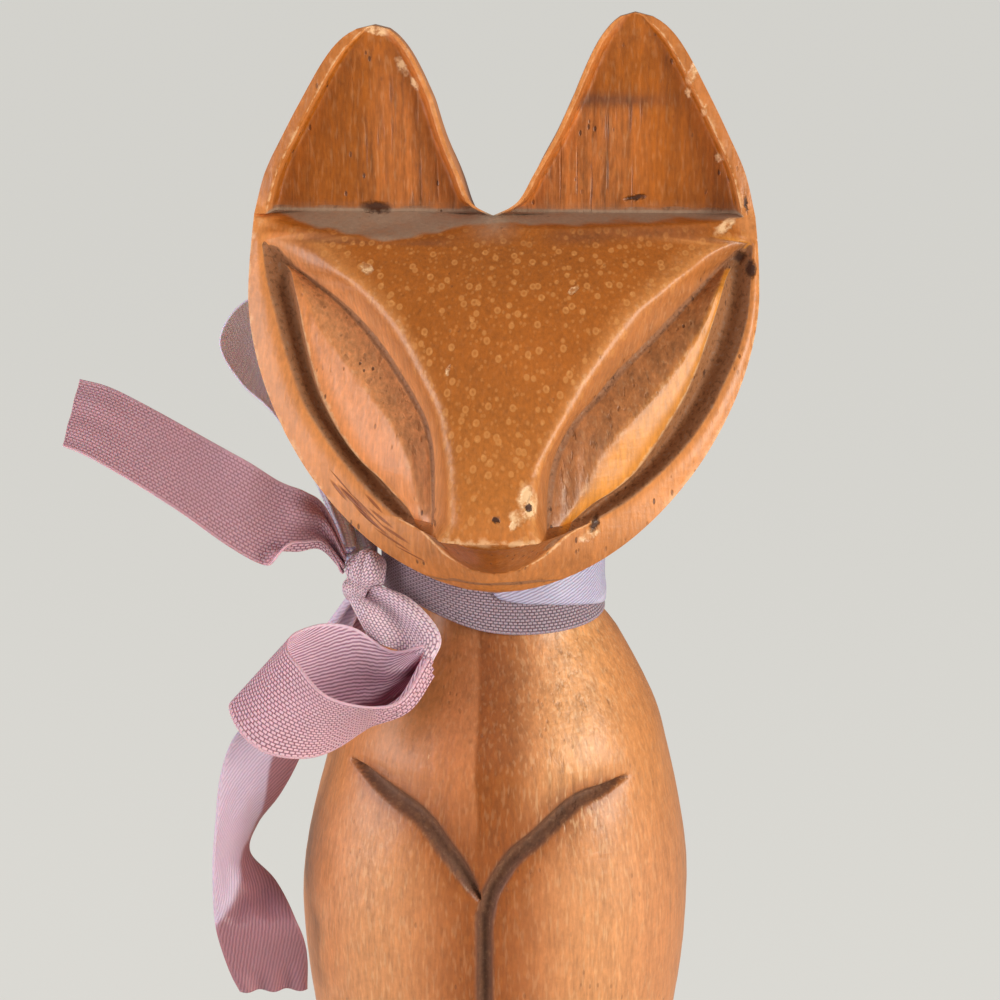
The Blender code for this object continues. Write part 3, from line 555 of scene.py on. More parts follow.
def finish_piece(name: str, mesh: Mesh, materials: Sequence[bpy.types.Material]) -> Piece:
    """Turn a bmesh into a smooth-shaded object in the scene, and free it."""
    data = bpy.data.meshes.new(name)
    mesh.to_mesh(data)
    mesh.free()
    for material in materials:
        data.materials.append(material)
    piece = bpy.data.objects.new(name, data)
    bpy.context.scene.collection.objects.link(piece)
    data.shade_smooth()
    return piece


def stand_for(piece: Piece, node: str) -> None:
    """Let a piece ride on the frame in the place of a CAD node."""
    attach(piece, "root")
    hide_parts(node)


def apply_modifiers(piece: Piece) -> None:
    """Give an object the mesh that its modifiers make."""
    depsgraph = bpy.context.evaluated_depsgraph_get()
    piece.data = bpy.data.meshes.new_from_object(piece.evaluated_get(depsgraph))
    piece.modifiers.clear()


@dataclass
class Paint:
    """What the wood's material reads at one vertex."""
    tint: Colour
    groove: float = 0.0
    edge: float = 0.0
    dust: float = 0.0
    streak: float = 0.12
    dots: float = 0.3
    pits: float = 0.3

    def lay(self, mesh: Mesh, vertex: Vert) -> None:
        """Write the paint on a vertex."""
        layers = mesh.verts.layers.float_color
        vertex[layers["tint"]] = (*self.tint, 1.0)
        vertex[layers["marks"]] = (self.groove, self.edge, self.dust, 1.0)
        vertex[layers["grain"]] = (self.streak, self.dots, self.pits, 1.0)


PAINT_LAYERS = ("tint", "marks", "grain")
Painted = list[tuple[Vector, list[tuple[float, ...]]]]


def read_paint(mesh: Mesh) -> Painted:
    """Place and paint of each vertex."""
    layers = [mesh.verts.layers.float_color[name] for name in PAINT_LAYERS]
    return [(vertex.co.copy(), [tuple(vertex[layer]) for layer in layers])
            for vertex in mesh.verts]


def repaint(piece: Piece, paints: Painted) -> None:
    """Give each vertex the paint of the nearest painted place, as a union mixes the paint up."""
    tree = KDTree(len(paints))
    for number, (place, _) in enumerate(paints):
        tree.insert(place, number)
    tree.balance()
    nearest = [tree.find(vertex.co)[1] for vertex in piece.data.vertices]
    for k, name in enumerate(PAINT_LAYERS):
        values = [part for number in nearest for part in paints[number][1][k]]
        piece.data.attributes[name].data.foreach_set("color", values)


class Wood:
    """Tints of the wood's parts, some of them dark or pale to paint shade and highlights."""
    FOREHEAD = srgb(172, 95, 28)
    BROW_LOW = srgb(192, 114, 46)
    CREST = srgb(204, 130, 66)
    # Darker tint of the slope below the crest, as painted shade towards the foot.
    BRIDGE = srgb(180, 108, 52)
    # The leaf eye's shaded and lit halves, painted shade and painted light, with a darker shaded
    # tint for the cat's left.
    LEAF_SHADED = srgb(214, 142, 90)
    LEAF_SHADED_DEEPER = srgb(164, 102, 56)
    LEAF_LIT = srgb(216, 134, 74)
    LEAF_LIT_GOLD = srgb(208, 130, 42)
    RIM = srgb(208, 130, 66)
    # Tint of the ear floors, darkened to paint the shade they lie in; the ears' backs and outer
    # bevels take it too.
    EAR = srgb(162, 86, 12)
    EAR_BAND = srgb(184, 106, 48)
    EAR_WALL = srgb(178, 94, 32)
    # Dark stain on the cat's left ear, also used as painted shade under the ledge at the ears'
    # foot.
    STAIN_AND_SHADE = srgb(112, 66, 44)
    # Dark tint of the recess under the nose and the chin's lower part, as painted shade.
    CHIN = srgb(146, 76, 16)
    CHEST = srgb(190, 116, 68)
    # Dark orange laid on the body as painted shade: along the keel, beside the forelegs' line and
    # round the gouges.
    SHADE_ORANGE = srgb(144, 74, 20)
    # Tint of the gouges: dirt, made darker as painted shade.
    GOUGE_DIRT_AND_SHADE = srgb(92, 58, 42)
    # Pale tint laid on the body as painted highlights.
    SHEEN_HIGHLIGHT = srgb(222, 158, 100)
    FLANK = srgb(206, 134, 78)
    LEG = srgb(196, 126, 80)
    BACK = srgb(186, 112, 52)


class Zone(Enum):
    """Zones of the head's front, from the chin up."""
    CHIN, LIP, EYE, BROW, EAR = "chin", "lip", "eye", "brow", "ear"


class Line(IntEnum):
    """Carved lines of one half of the face, as places u across it from the middle to the edge."""
    (MIDDLE, BROW, CREST, SLOPE, FOOT, BRIDGE, RIDGE, LEAF, LID, GROOVE, RIM, BORDER,
     EDGE) = range(13)


Row = tuple[Zone, float, list[Point2]]

# How far each of a section's lines is rounded to either side, in metres
CORNERS: dict[Zone, tuple[float, ...]] = {
    Zone.CHIN: (0.004,) + (0.002,) * 11 + (0.0,),
    Zone.LIP: (0.004,) + (0.002,) * 11 + (0.0,),
    Zone.EYE: (0.004, 0.004, 0.0015, 0.0010, 0.0004, 0.0012, 0.0005, 0.0012, 0.0002, 0.0016, 0.0003,
               0.0012, 0.0),
    Zone.BROW: (0.0,) + (0.0015,) * 11 + (0.0,),
    Zone.EAR: (0.0, 0.0003, 0.0008, 0.0006) + (0.001,) * 5 + (0.0006, 0.0006, 0.0003, 0.0),
}


def rounded(section: Sequence[Point2], corners: Sequence[float], u: float) -> Point2:
    """Point on a section whose corners are rounded.

    Args:
        section: The section's corner points.
        corners: How far each corner is rounded to either side.
        u: Place along the section, counted in its points.

    Returns:
        The point's distance from the middle and its depth.
    """
    i = min(len(section) - 1, round(u))
    here = Vector(section[i])
    before = Vector(section[i - 1]) if i else Vector((-section[1][0], section[1][1]))
    after = Vector(section[i + 1]) if i + 1 < len(section) else here
    back = min(0.5, corners[i] / max((before - here).length, 1e-9))
    ahead = min(0.5, corners[i] / max((after - here).length, 1e-9))
    if corners[i] == 0 or not i - back < u < i + ahead:
        k = min(int(u), len(section) - 2)
        point = Vector(section[k]).lerp(Vector(section[k + 1]), u - k)
        return point.x, point.y
    t = (u - (i - back)) / (back + ahead)
    start, end = here.lerp(before, back), here.lerp(after, ahead)
    point = start.lerp(here, t).lerp(here.lerp(end, t), t)
    return point.x, point.y


def paint_across(u: float, share: float, side: int) -> Colour:
    """Tint across one half of the face, from the brow in the middle to the rim: the slope below the
    crest darkens towards the foot and the leaf eye's half from foot to ridge is darker, as painted
    shade, its half from ridge to lid lighter, as painted light, with the shaded half darker on the
    cat's left.
    """
    brow = blend(Wood.BROW_LOW, Wood.FOREHEAD, ramp(0.1, 0.7, share))
    # Painted shade and painted light for the leaf's two halves, darker shade on the cat's left.
    shade, light = ((Wood.LEAF_SHADED_DEEPER, Wood.LEAF_LIT_GOLD) if side > 0
                    else (Wood.LEAF_SHADED, Wood.LEAF_LIT))
    tints = [(Line.MIDDLE, brow), (1.6, brow), (Line.CREST, Wood.CREST), (2.5, Wood.BRIDGE),
             (Line.FOOT, shade), (5.7, shade), (6.5, light), (Line.LID, light),
             (Line.RIM, Wood.RIM), (Line.EDGE, Wood.RIM)]
    for (a, first), (b, second) in zip(tints, tints[1:]):
        if u <= b:
            return blend(first, second, (u - a) / (b - a))
    return Wood.RIM


@dataclass(frozen=True)
class Head:
    """The head as a relief over its outline, with heights above the chin."""
    chin: float = CHIN_HEIGHT
    lip_up: float = 0.0039
    nose_up: float = 0.0108
    eye_top: float = 0.0475
    notch_up: float = 0.0511
    ear_up: tuple[float, float] = (0.0782, 0.0801)
    notch_shift: float = -0.0015
    cheek_up: float = 0.0400
    half: float = 0.0375
    roundness: float = 1.8
    nose_reach: float = 0.0346
    undercut: float = 0.0026
    back_reach: float = 0.0182
    rim_lean: float = 0.45
    groove_depth: float = 0.0024
    bridge_depth: float = 0.0065
    foot_depth: float = 0.0044
    ridge_depth: float = 0.0045
    edge_round: float = 0.0004
    ear_hollow: float = 0.0034
    shelf: float = 1.15
    keel_round: float = 0.0030
    groove_at: float = 0.40
    ear_walls: tuple[float, float, float] = (0.0007, 0.0011, 0.0007)
    ear_rim: float = 0.0019
    thickness: float = 0.0012
    ear_back: tuple[float, float] = (0.0115, 0.0050)
    between: int = 8
    back_columns: int = 30
    row_counts: tuple[int, int, int, int, int] = (10, 19, 98, 20, 62)
    sag_slope: float = 0.32
    sag_width: float = 0.0085
    sag_reach: float = 0.010
    ridge_fade: Curve = ((0, 1), (0.14, 0.67), (0.33, 0.33), (0.52, 0.22), (0.85, 0.13), (1, 0))
    groove_fade: Curve = ((0, 0.6), (0.2, 1), (0.85, 1), (1, 0))
    hollow_fade: Curve = ((0.5, 0.85), (0.8, 0.5), (0.95, 0.1), (1, 0))
    edge_reach: Curve = ((0, 0.665), (0.0054, 0.592), (0.0149, 0.439), (0.0263, 0.283),
        (0.0387, 0.150), (0.0515, 0.043), (0.0801, -0.014))
    middle_reach: Curve = ((0, 1.0), (0.055, 0.983), (0.245, 0.85), (0.49, 0.66), (0.75, 0.463),
        (0.92, 0.295), (1.03, 0.16), (1.11, 0.07))
    crest_reach: Curve = ((0, 0.983), (0.06, 0.954), (0.25, 0.818), (0.49, 0.633), (0.76, 0.430),
        (0.89, 0.290), (0.96, 0.190), (1.0, 0.130))
    ear_inner: Curve = ((0, 0.0), (0.04, 0.066), (0.08, 0.100), (0.2, 0.145), (0.4, 0.220),
        (0.64, 0.290), (0.84, 0.361), (0.93, 0.410), (0.98, 0.455), (1, 0.490))
    ear_outer: Curve = ((0, 1.0), (0.2, 0.960), (0.43, 0.877), (0.63, 0.795), (0.84, 0.700),
        (0.93, 0.640), (0.98, 0.580), (1, 0.535))
    crest: tuple[Curve, Curve] = (
        ((0, 0.195), (0.07, 0.152), (0.2, 0.159), (0.32, 0.182), (0.43, 0.211), (0.54, 0.272),
         (0.67, 0.350), (0.784, 0.445), (0.854, 0.535), (0.89, 0.595), (0.946, 0.670), (1, 0.740)),
        ((0, 0.180), (0.09, 0.150), (0.21, 0.159), (0.257, 0.176), (0.341, 0.221), (0.409, 0.260),
         (0.503, 0.314), (0.598, 0.379), (0.689, 0.446), (0.768, 0.512), (0.834, 0.599),
         (0.895, 0.687), (0.956, 0.770), (1, 0.860)))
    foot: tuple[Curve, Curve] = (
        ((0, 0.236), (0.16, 0.237), (0.262, 0.242), (0.356, 0.266), (0.451, 0.324), (0.546, 0.395),
         (0.639, 0.474), (0.728, 0.573), (0.795, 0.668), (0.854, 0.770), (0.90, 0.845), (1, 0.925)),
        ((0, 0.200), (0.148, 0.205), (0.228, 0.2185), (0.313, 0.252), (0.391, 0.306),
         (0.455, 0.378), (0.541, 0.458), (0.631, 0.565), (0.729, 0.672), (0.822, 0.768),
         (0.896, 0.848), (1, 0.945)))
    ridge: tuple[Curve, Curve] = (
        ((0, 0.285), (0.095, 0.299), (0.19, 0.314), (0.286, 0.355), (0.365, 0.405), (0.446, 0.480),
         (0.535, 0.560), (0.618, 0.640), (0.69, 0.700), (0.78, 0.748), (0.865, 0.800),
         (0.90, 0.855), (1, 0.930)),
        ((0, 0.250), (0.071, 0.300), (0.126, 0.337), (0.231, 0.392), (0.312, 0.459), (0.406, 0.556),
         (0.512, 0.654), (0.601, 0.722), (0.676, 0.768), (0.760, 0.808), (0.832, 0.836),
         (0.90, 0.872), (1, 0.952)))
    lid: tuple[Curve, Curve] = (
        ((0, 0.310), (0.041, 0.340), (0.078, 0.383), (0.135, 0.446), (0.193, 0.523), (0.271, 0.596),
         (0.358, 0.654), (0.461, 0.705), (0.572, 0.740), (0.662, 0.764), (0.776, 0.790),
         (0.872, 0.826), (0.92, 0.880), (1, 0.936)),
        ((0, 0.290), (0.06, 0.368), (0.1, 0.443), (0.16, 0.522), (0.244, 0.589), (0.345, 0.657),
         (0.438, 0.713), (0.548, 0.762), (0.662, 0.801), (0.758, 0.833), (0.85, 0.862),
         (0.92, 0.905), (1, 0.960)))
    rim: tuple[Curve, Curve] = (
        ((0, 0.370), (0.064, 0.455), (0.144, 0.541), (0.23, 0.624), (0.304, 0.686), (0.383, 0.744),
         (0.485, 0.790), (0.606, 0.836), (0.722, 0.872), (0.866, 0.919), (1, 0.944)),
        ((0, 0.370), (0.054, 0.478), (0.126, 0.580), (0.2, 0.665), (0.289, 0.747), (0.382, 0.812),
         (0.496, 0.872), (0.606, 0.922), (0.733, 0.955), (0.874, 0.967), (1, 0.970)))
    lip: Curve = ((0, 0.0), (0.09, 0.09), (0.32, 0.176), (0.75, 0.268), (1, 0.370))
    ledge: tuple[Curve, Curve] = (
        ((0.0, 0.0012), (0.0062, 0.0017), (0.0091, 0.0023), (0.017, 0.0035), (0.023, 0.0028),
         (0.029, 0.0018), (0.0336, 0.0004)),
        ((0.0, 0.0012), (0.006, 0.0014), (0.017, 0.0011), (0.024, 0.0009), (0.033, 0.0005)))

    def half_width(self, up: float) -> float:
        """Half width of the outline at a height, up to the notch."""
        if up <= self.cheek_up:
            fall = ((self.cheek_up - up) / self.cheek_up) ** self.roundness
            return self.half * (1 - fall) ** (1 / self.roundness)
        above = (up - self.cheek_up) / (self.notch_up - self.cheek_up)
        return self.half * (1 - 0.019 * above ** 2)

    def ear_span(self, t: float, side: int) -> Point2:
        """Inner and outer edge of an ear at a share t of its height, from the middle."""
        width = self.half_width(self.notch_up)
        shift = side * self.notch_shift * smooth([(0, 1.0), (0.6, 0.0)], t)
        return width * smooth(self.ear_inner, t) + shift, width * smooth(self.ear_outer, t)

    def share(self, up: float) -> float:
        """0 at the nose's lower edge, 1 at the eyes' upper corners."""
        return (up - self.nose_up) / (self.eye_top - self.nose_up)

    def edge_depth(self, up: float) -> float:
        """Depth of the outline."""
        return -self.nose_reach * smooth(self.edge_reach, up)

    def middle_depth(self, up: float) -> float:
        """Depth of the brow and nose along the middle."""
        return -self.nose_reach * smooth(self.middle_reach, self.share(up))

    def crest_depth(self, up: float) -> float:
        """Depth of the crest between brow and eye."""
        return -self.nose_reach * smooth(self.crest_reach, self.share(up))

    def lip_place(self, up: float) -> float:
        """Distance of the lip's inner edge from the middle, below the nose."""
        return self.half * smooth(self.lip, (up - self.lip_up) / (self.nose_up - self.lip_up))

    def face_section(self, up: float, side: int) -> list[Point2]:
        """Carved lines of one half of the face, from the middle to the edge."""
        share, edge = self.share(up), self.half_width(up)
        crest, foot, ridge, lid, rim = (self.half * smooth(line[side > 0], share) for line in
                                        (self.crest, self.foot, self.ridge, self.lid, self.rim))
        brow = self.half * sum(smooth(line, share) for line in self.crest) / 4
        y_edge, y_crest, middle = self.edge_depth(up), self.crest_depth(up), self.middle_depth(up)
        y_rim = y_edge - self.rim_lean * (edge - rim)

        def slope(x: float) -> float:
            """Depth of the plane from crest to rim."""
            return y_crest + (y_rim - y_crest) * (x - crest) / (rim - crest)

        y_foot = slope(foot) + smooth([(0, self.bridge_depth), (0.42, self.foot_depth),
                                       (0.74, 0.9 * self.foot_depth), (0.9, 0.6 * self.foot_depth),
                                       (1, 0)], share)
        y_ridge = slope(ridge) + self.ridge_depth * smooth(self.ridge_fade, share)
        y_lid = y_rim - 0.35 * (rim - lid)
        y_groove = y_rim + self.groove_depth * smooth(self.groove_fade, share)
        groove = lid + (rim - lid) * self.groove_at
        blunt = self.edge_round * ramp(0.0, 0.25, share)
        y_foot, y_ridge, y_lid = (y + (y_groove - y) * ramp(0.82, 0.92, share) for y in
                                  (y_foot, y_ridge, y_lid))
        return [(0.0, middle), (brow, 0.75 * middle + 0.25 * y_crest), (crest, y_crest),
                ((crest + foot) / 2, (y_crest + y_foot) / 2), (foot, y_foot),
                ((foot + ridge) / 2, (y_foot + y_ridge) / 2), (ridge, y_ridge),
                ((ridge + lid) / 2, (y_ridge + y_lid) / 2), (lid, y_lid),
                (groove, y_groove), (rim, y_rim),
                ((rim + edge) / 2, y_edge - self.rim_lean * (edge - rim) / 2 - blunt),
                (edge, y_edge)]

    def chin_section(self, up: float, side: int) -> list[Point2]:
        """The same lines below the nose: the recess under it and the lip round the chin."""
        edge = self.half_width(up)
        whole = self.face_section(self.nose_up, side)
        places = [x * edge / self.half_width(self.nose_up) for x, _ in whole]
        rim, y_edge = self.lip_place(up), self.edge_depth(up)
        y_rim = y_edge - self.rim_lean * (edge - rim)
        blunt = math.hypot(edge, self.keel_round) - edge
        mid = 0.55 * self.lip_up + 0.45 * self.nose_up
        y_recess = smooth([(self.lip_up, -0.780 * self.nose_reach), (mid, -0.85 * self.nose_reach),
                           (self.nose_up, self.undercut - self.nose_reach)], up)
        section = []
        for x in places:
            round_x = math.hypot(x, self.keel_round) - blunt
            y = y_edge - self.rim_lean * (edge - round_x)
            if x < rim:
                y += (y_recess - y_rim) * (1 - (x / rim) ** 2)
            section.append((x, y))
        return section

    def brow_section(self, up: float, side: int) -> list[Point2]:
        """The lines where the brow turns into the ledge at the foot of the ears."""
        rise = (up - self.eye_top) / (self.notch_up - self.eye_top)
        inner, outer = self.ear_span(0.0, side)
        half = self.half_width(up)
        edge, middle = self.edge_depth(up), self.middle_depth(up)
        back = (middle - self.middle_depth(self.eye_top), edge - self.edge_depth(self.eye_top))
        section = []
        face = self.face_section(self.eye_top, side)
        for number, (x_face, _) in enumerate(face):
            x = x_face + (inner + (outer - inner) * number / Line.EDGE - x_face) * rise
            out = min(1.0, x / half)
            y_face = self.depth_at(face, abs(x)) + back[0] + (back[1] - back[0]) * out ** 2
            y_high = middle + (edge - middle) * min(1.0, x / (half - self.ear_rim)) ** 4
            y = y_face + (y_high - y_face) * ramp(0.0, 1.0, rise)
            y_floor = self.edge_depth(self.notch_up) + self.shelf * self.ear_hollow
            section.append((x, y + (y_floor - y) * self.on_ledge(up, x - inner * rise, side)))
        return section

    def depth_at(self, section: list[Point2], x: float) -> float:
        """Depth of a section at a distance from the middle."""
        for (x0, y0), (x1, y1) in zip(section, section[1:]):
            if x <= x1:
                return y0 + (y1 - y0) * (x - x0) / (x1 - x0)
        return section[-1][1]

    def on_ledge(self, up: float, x: float, side: int) -> float:
        """0 on the brow, rising over the ledge to 1 at the foot of the ear's hollow."""
        rim, inner_wall, outer_wall = self.ear_walls
        width = self.half_width(self.notch_up)
        inside = ramp(rim, rim + inner_wall, x)
        inside *= ramp(width - self.ear_rim, width - self.ear_rim - outer_wall, x)
        drop = smooth(self.ledge[side > 0], x)
        return inside * max(0.0, min(1.0, (up - self.notch_up + drop) / drop))

    def ear_section(self, t: float, side: int) -> list[Point2]:
        """The lines across an ear's hollow front, from the notch to the outer edge."""
        inner, outer = self.ear_span(t, side)
        up = self.notch_up + t * (self.ear_up[side > 0] - self.notch_up)
        width = outer - inner
        room = min(1.0, 0.6 * width / (sum(self.ear_walls) + self.ear_rim))
        rim, inner_wall, outer_wall = (size * room for size in self.ear_walls)
        bevel = self.ear_rim * room
        low, high = rim + inner_wall, width - bevel - outer_wall
        depth = self.ear_hollow * smooth([(0, self.shelf), *self.hollow_fade], t)
        lines = [(0, 0), (rim, 0), (rim + inner_wall / 2, 0.55)]
        lines += [(low + (high - low) * k / 6, 1.0) for k in range(7)]
        lines += [(width - bevel - outer_wall / 2, 0.5),
                  (width - bevel, -0.16 * ramp(0.0, 0.06, t)), (width, 0)]
        return [(inner + place, self.edge_depth(up) + depth * share) for place, share in lines]

    def rows(self, side: int) -> list[Row]:
        """Zone, height above the chin and section of each row, from the chin to an ear's tip."""
        step, tip = self.nose_up - self.undercut * 0.12, self.ear_up[side > 0]
        chin, lip, eye, brow, ear = self.row_counts
        zones = ((Zone.CHIN, self.chin_section, spread(0.0, self.lip_up, chin)),
                 (Zone.LIP, self.chin_section, spread(self.lip_up, step, lip) + [step]),
                 (Zone.EYE, self.face_section, spread(self.nose_up, self.eye_top, eye)),
                 (Zone.BROW, self.brow_section, spread(self.eye_top, self.notch_up, brow)))
        made = [(zone, up, section(up, side)) for zone, section, heights in zones for up in heights]
        for t in spread(0.0, 1.0, ear, 0.75):
            up = self.notch_up + t * (tip - self.notch_up)
            made.append((Zone.EAR, up, self.ear_section(t, side)))
        (inner, y), (outer, _) = (self.ear_section(1.0, side)[k] for k in (0, -1))
        made.append((Zone.EAR, tip, [((inner + outer) / 2, y)] * len(Line)))
        return made

    def parting(self, up: float) -> float:
        """0 where the back of the head is one, 1 where the backs of the ears are apart."""
        return smooth([(self.notch_up, 0.0), (self.notch_up + 0.0090, 1.0)], up)

    def back_place(self, share: float, up: float, span: Point2) -> float:
        """Sideways place of a column on the back, closer together towards the outline."""
        whole = math.sin(share * math.pi / 2)
        own = (1 - math.cos(share * math.pi)) / 2
        return span[0] + (span[1] - span[0]) * (whole + (own - whole) * self.parting(up))

    def back_depth(self, up: float, x: float, span: Point2) -> float:
        """Depth of the back of the head, or of an ear's back, over the same outline."""
        rim, reach = self.edge_depth(up) + self.thickness, self.back_reach
        skull = smooth([(0, -0.66 * self.nose_reach), (0.0015, -0.59 * self.nose_reach),
                        (0.0035, -0.49 * self.nose_reach), (0.0055, -0.0080), (0.009, 0.55 * reach),
                        (0.013, 0.82 * reach), (0.021, 0.98 * reach), (0.031, reach),
                        (0.041, 0.91 * reach), (self.notch_up, self.ear_back[0]),
                        (self.ear_up[1], self.ear_back[1])], up)
        inner, outer = span
        whole = max(0.0, 1 - abs(x / max(outer, 1e-6)) ** 2.4) ** 0.55
        across = 2 * (x - inner) / max(outer - inner, 1e-6) - 1
        own = max(0.0, 1 - abs(across) ** 2.4) ** 0.55
        if across < 0:
            wall = smooth([(self.notch_up, 1.0), (self.notch_up + 0.0060, 0.6),
                           (self.ear_up[1], 0.35)], up)
            own = wall + (1 - wall) * own
        return rim + (skull - rim) * (whole + (own - whole) * self.parting(up))

    def build(self) -> Mesh:
        """The head as one closed painted mesh."""
        mesh = new_mesh(PAINT_LAYERS)
        for side in (-1, 1):
            rows = self.rows(side)
            self._front(mesh, rows, side)
            self._back(mesh, rows, side)
        bmesh.ops.remove_doubles(mesh, verts=mesh.verts, dist=1e-6)
        bmesh.ops.dissolve_degenerate(mesh, edges=mesh.edges, dist=1e-6)
        border = [edge for edge in mesh.edges if edge.is_boundary]
        strip = bmesh.ops.bridge_loops(mesh, edges=border)
        bmesh.ops.subdivide_edges(mesh, edges=strip["edges"], cuts=2, use_grid_fill=True)
        bmesh.ops.recalc_face_normals(mesh, faces=mesh.faces)
        return mesh

    def _front(self, mesh: Mesh, rows: list[Row], side: int) -> None:
        """Lay one half of the head's front.

        Args:
            mesh: The head's mesh.
            rows: Its rows.
            side: -1 for the cat's right half, 1 for its left.
        """
        def place(vertex: Vert, column: int, row: int) -> None:
            """Put a vertex on the carved surface and paint it."""
            zone, up, section = rows[row]
            u = column / self.between
            x, y = rounded(section, CORNERS[zone], u)
            vertex.co = Vector((side * x, y, self.chin + up))
            paint = self.paint(zone, up, u, side, vertex.co)
            vertex.co.y += self.wear(vertex.co, paint) if 0 < row < len(rows) - 1 else 0.0
            paint.lay(mesh, vertex)

        lay_grid(mesh, Line.EDGE * self.between, len(rows) - 1, place)

    def _back(self, mesh: Mesh, rows: list[Row], side: int) -> None:
        """Lay one half of the head's back, as _front does its front."""
        def place(vertex: Vert, column: int, row: int) -> None:
            """Put a vertex on the back and paint it."""
            zone, up, section = rows[row]
            span = (section[0][0], section[-1][0])
            x = self.back_place(column / self.back_columns, up, span)
            vertex.co = Vector((side * x, self.back_depth(up, x, span), self.chin + up))
            sag = bell(x, self.sag_width) * ramp(self.notch_up - self.sag_reach, self.notch_up, up)
            sag *= ramp(self.notch_up + self.sag_reach, self.notch_up + 0.001, up) * self.sag_slope
            vertex.co.z -= sag * max(0.0, vertex.co.y - self.edge_depth(up) - self.thickness)
            if 0 < column < self.back_columns and 0 < row < len(rows) - 1:
                vertex.co.y += 0.00012 * grit(vertex.co, 130) + 0.00005 * grit(vertex.co, 480)
            rise = ramp(self.notch_up, self.ear_up[1], up)
            dust = 0.7 * bell(x, 0.0080) * bell(up - self.notch_up, 0.0060)
            Paint(blend(Wood.BACK, Wood.EAR, 0.5 * rise), edge=0.25 * rise, dust=dust, streak=0.25,
                  dots=0.5, pits=0.3).lay(mesh, vertex)

        lay_grid(mesh, self.back_columns, len(rows) - 1, place)

    def wear(self, place: Vector, paint: Paint) -> float:
        """How far age and the gouge's marks set the carved surface back, in metres."""
        tool = 0.00007 * grit(place, 150) + 0.00003 * grit(place, 520, 3.0)
        streaks = noise.noise(Vector((place.x * 900, 0.0, place.z * 60)))
        chip = max(0.0, grit(place, 560, 7.0) - 0.30) * paint.edge
        return tool + 0.00016 * streaks * paint.streak + 0.0007 * chip

    def paint(self, zone: Zone, up: float, u: float, side: int, place: Vector) -> Paint:
        """Paint of the carved front.

        Args:
            zone: The row's zone.
            up: Height above the chin.
            u: Place across the section, counted in its lines from the middle.
            side: -1 for the cat's right half, 1 for its left.
            place: The vertex's place.

        Returns:
            The paint there.
        """
        if zone is Zone.EAR:
            return self._paint_ear(up, u, side, place)
        if zone is Zone.BROW:
            return self._paint_brow(up, u, side, place)
        if zone is Zone.EYE:
            return self._paint_eye(self.share(up), u, side)
        return self._paint_chin(zone, up, place)

    def _paint_chin(self, zone: Zone, up: float, place: Vector) -> Paint:
        """Paint of the recess under the nose and of the lip round it; the recess takes a dark tint
        as painted shade, and the lower chin some of it.
        """
        rim, lip = self.lip_place(up), zone is Zone.LIP
        off = abs(place.x) / max(rim, 1e-5)
        inside = ramp(1.05, 0.85, off) if lip else 0.0
        line = bell(off - 1.04, 0.06) if lip else 0.0
        gouge = ramp(0.68, 0.84, off) * ramp(1.04, 0.98, off) * ramp(0.0056, 0.0085, up)
        gouge *= 0.66 if lip else 0.0
        crack = bell(up - 0.0021 - 0.0006 * grit(place, 300), 0.0006)
        crack *= ramp(0.020, 0.006, abs(place.x))
        # Painted shade: the dark tint fills the recess and a little of it lies over the lower chin.
        low = 0.40 * ramp(self.nose_up, self.nose_up - 0.0060, up)
        return Paint(blend(Wood.RIM, Wood.CHIN, max(inside, low)), max(0.64 * crack, gouge),
                     0.8 * line, streak=0.27 + 0.2 * low, dots=0.1, pits=0.7)

    def _paint_eye(self, share: float, u: float, side: int) -> Paint:
        """Paint of the brow, the leaf eyes and the rim, at a share of the eyes' height."""
        groove = max(0.0, 1 - abs(u - 9.06) / 2.2) * ramp(1.0, 0.985, share)
        foot = 0.60 * bell(u - Line.FOOT, 0.55) * ramp(1.0, 0.93, share)
        pit = 0.62 * ramp(0.83, 0.92, share) * ramp(1.0, 0.97, share)
        pit *= ramp(3.2, 4.0, u) * ramp(9.8, 9.2, u)
        edge = max(0.35 * bell(u - Line.CREST, 0.25), 0.65 * bell(u - Line.RIM, 0.20),
                   0.95 * bell(u - Line.LID, 0.15), 0.6 * bell(u - Line.EDGE, 0.30),
                   0.40 * bell(u - Line.RIDGE, 0.22) * ramp(1.0, 0.93, share),
                   0.8 * ramp(0.035, 0.0, share) * ramp(2.4, 2.0, u))
        streak = 0.12 + 0.30 * ramp(2.5, 3.5, u) * ramp(8.5, 7.5, u) + 0.15 * ramp(9.5, 10.5, u)
        streak += 0.35 * ramp(3.6, 4.4, u) * ramp(6.4, 5.6, u)
        return Paint(paint_across(u, share, side), max(groove, foot, pit), edge, 0.0, streak,
                     ramp(3.0, 1.9, u) * 0.9 + 0.1, 0.3 + 0.5 * ramp(2.5, 4.0, u))

    def _paint_brow(self, up: float, u: float, side: int, place: Vector) -> Paint:
        """Paint where the brow turns into the dusty ledge."""
        away, rise = abs(place.x), ramp(self.eye_top, self.notch_up, up)
        drop = smooth(self.ledge[side > 0], away) + 0.0004 * grit(place, 330)
        past = up - self.notch_up + drop
        dusty = 0.85 * ramp(-0.0001, 0.0006, past) * ramp(11.4, 10.6, u)
        saddle = bell(place.x - self.notch_shift, 0.0050) * ramp(0.0070, 0.0, self.notch_up - up)
        # Painted shade: a dark band just under the ledge's lower edge, away from the middle.
        shade = bell(past + 0.0010, 0.0011) * ramp(0.004, 0.010, away)
        tint = layered(paint_across(u, 1.0, side),
                       (Wood.FOREHEAD, ramp(0.0, 0.35, rise) * ramp(11.5, 10.0, u)),
                       (Wood.STAIN_AND_SHADE, 0.5 * shade * ramp(0.033, 0.026, away)))
        return Paint(tint, edge=0.5 * bell(u - Line.EDGE, 1.0), dust=max(dusty, 0.6 * saddle),
                     streak=0.12, dots=0.7 * (1 - rise))

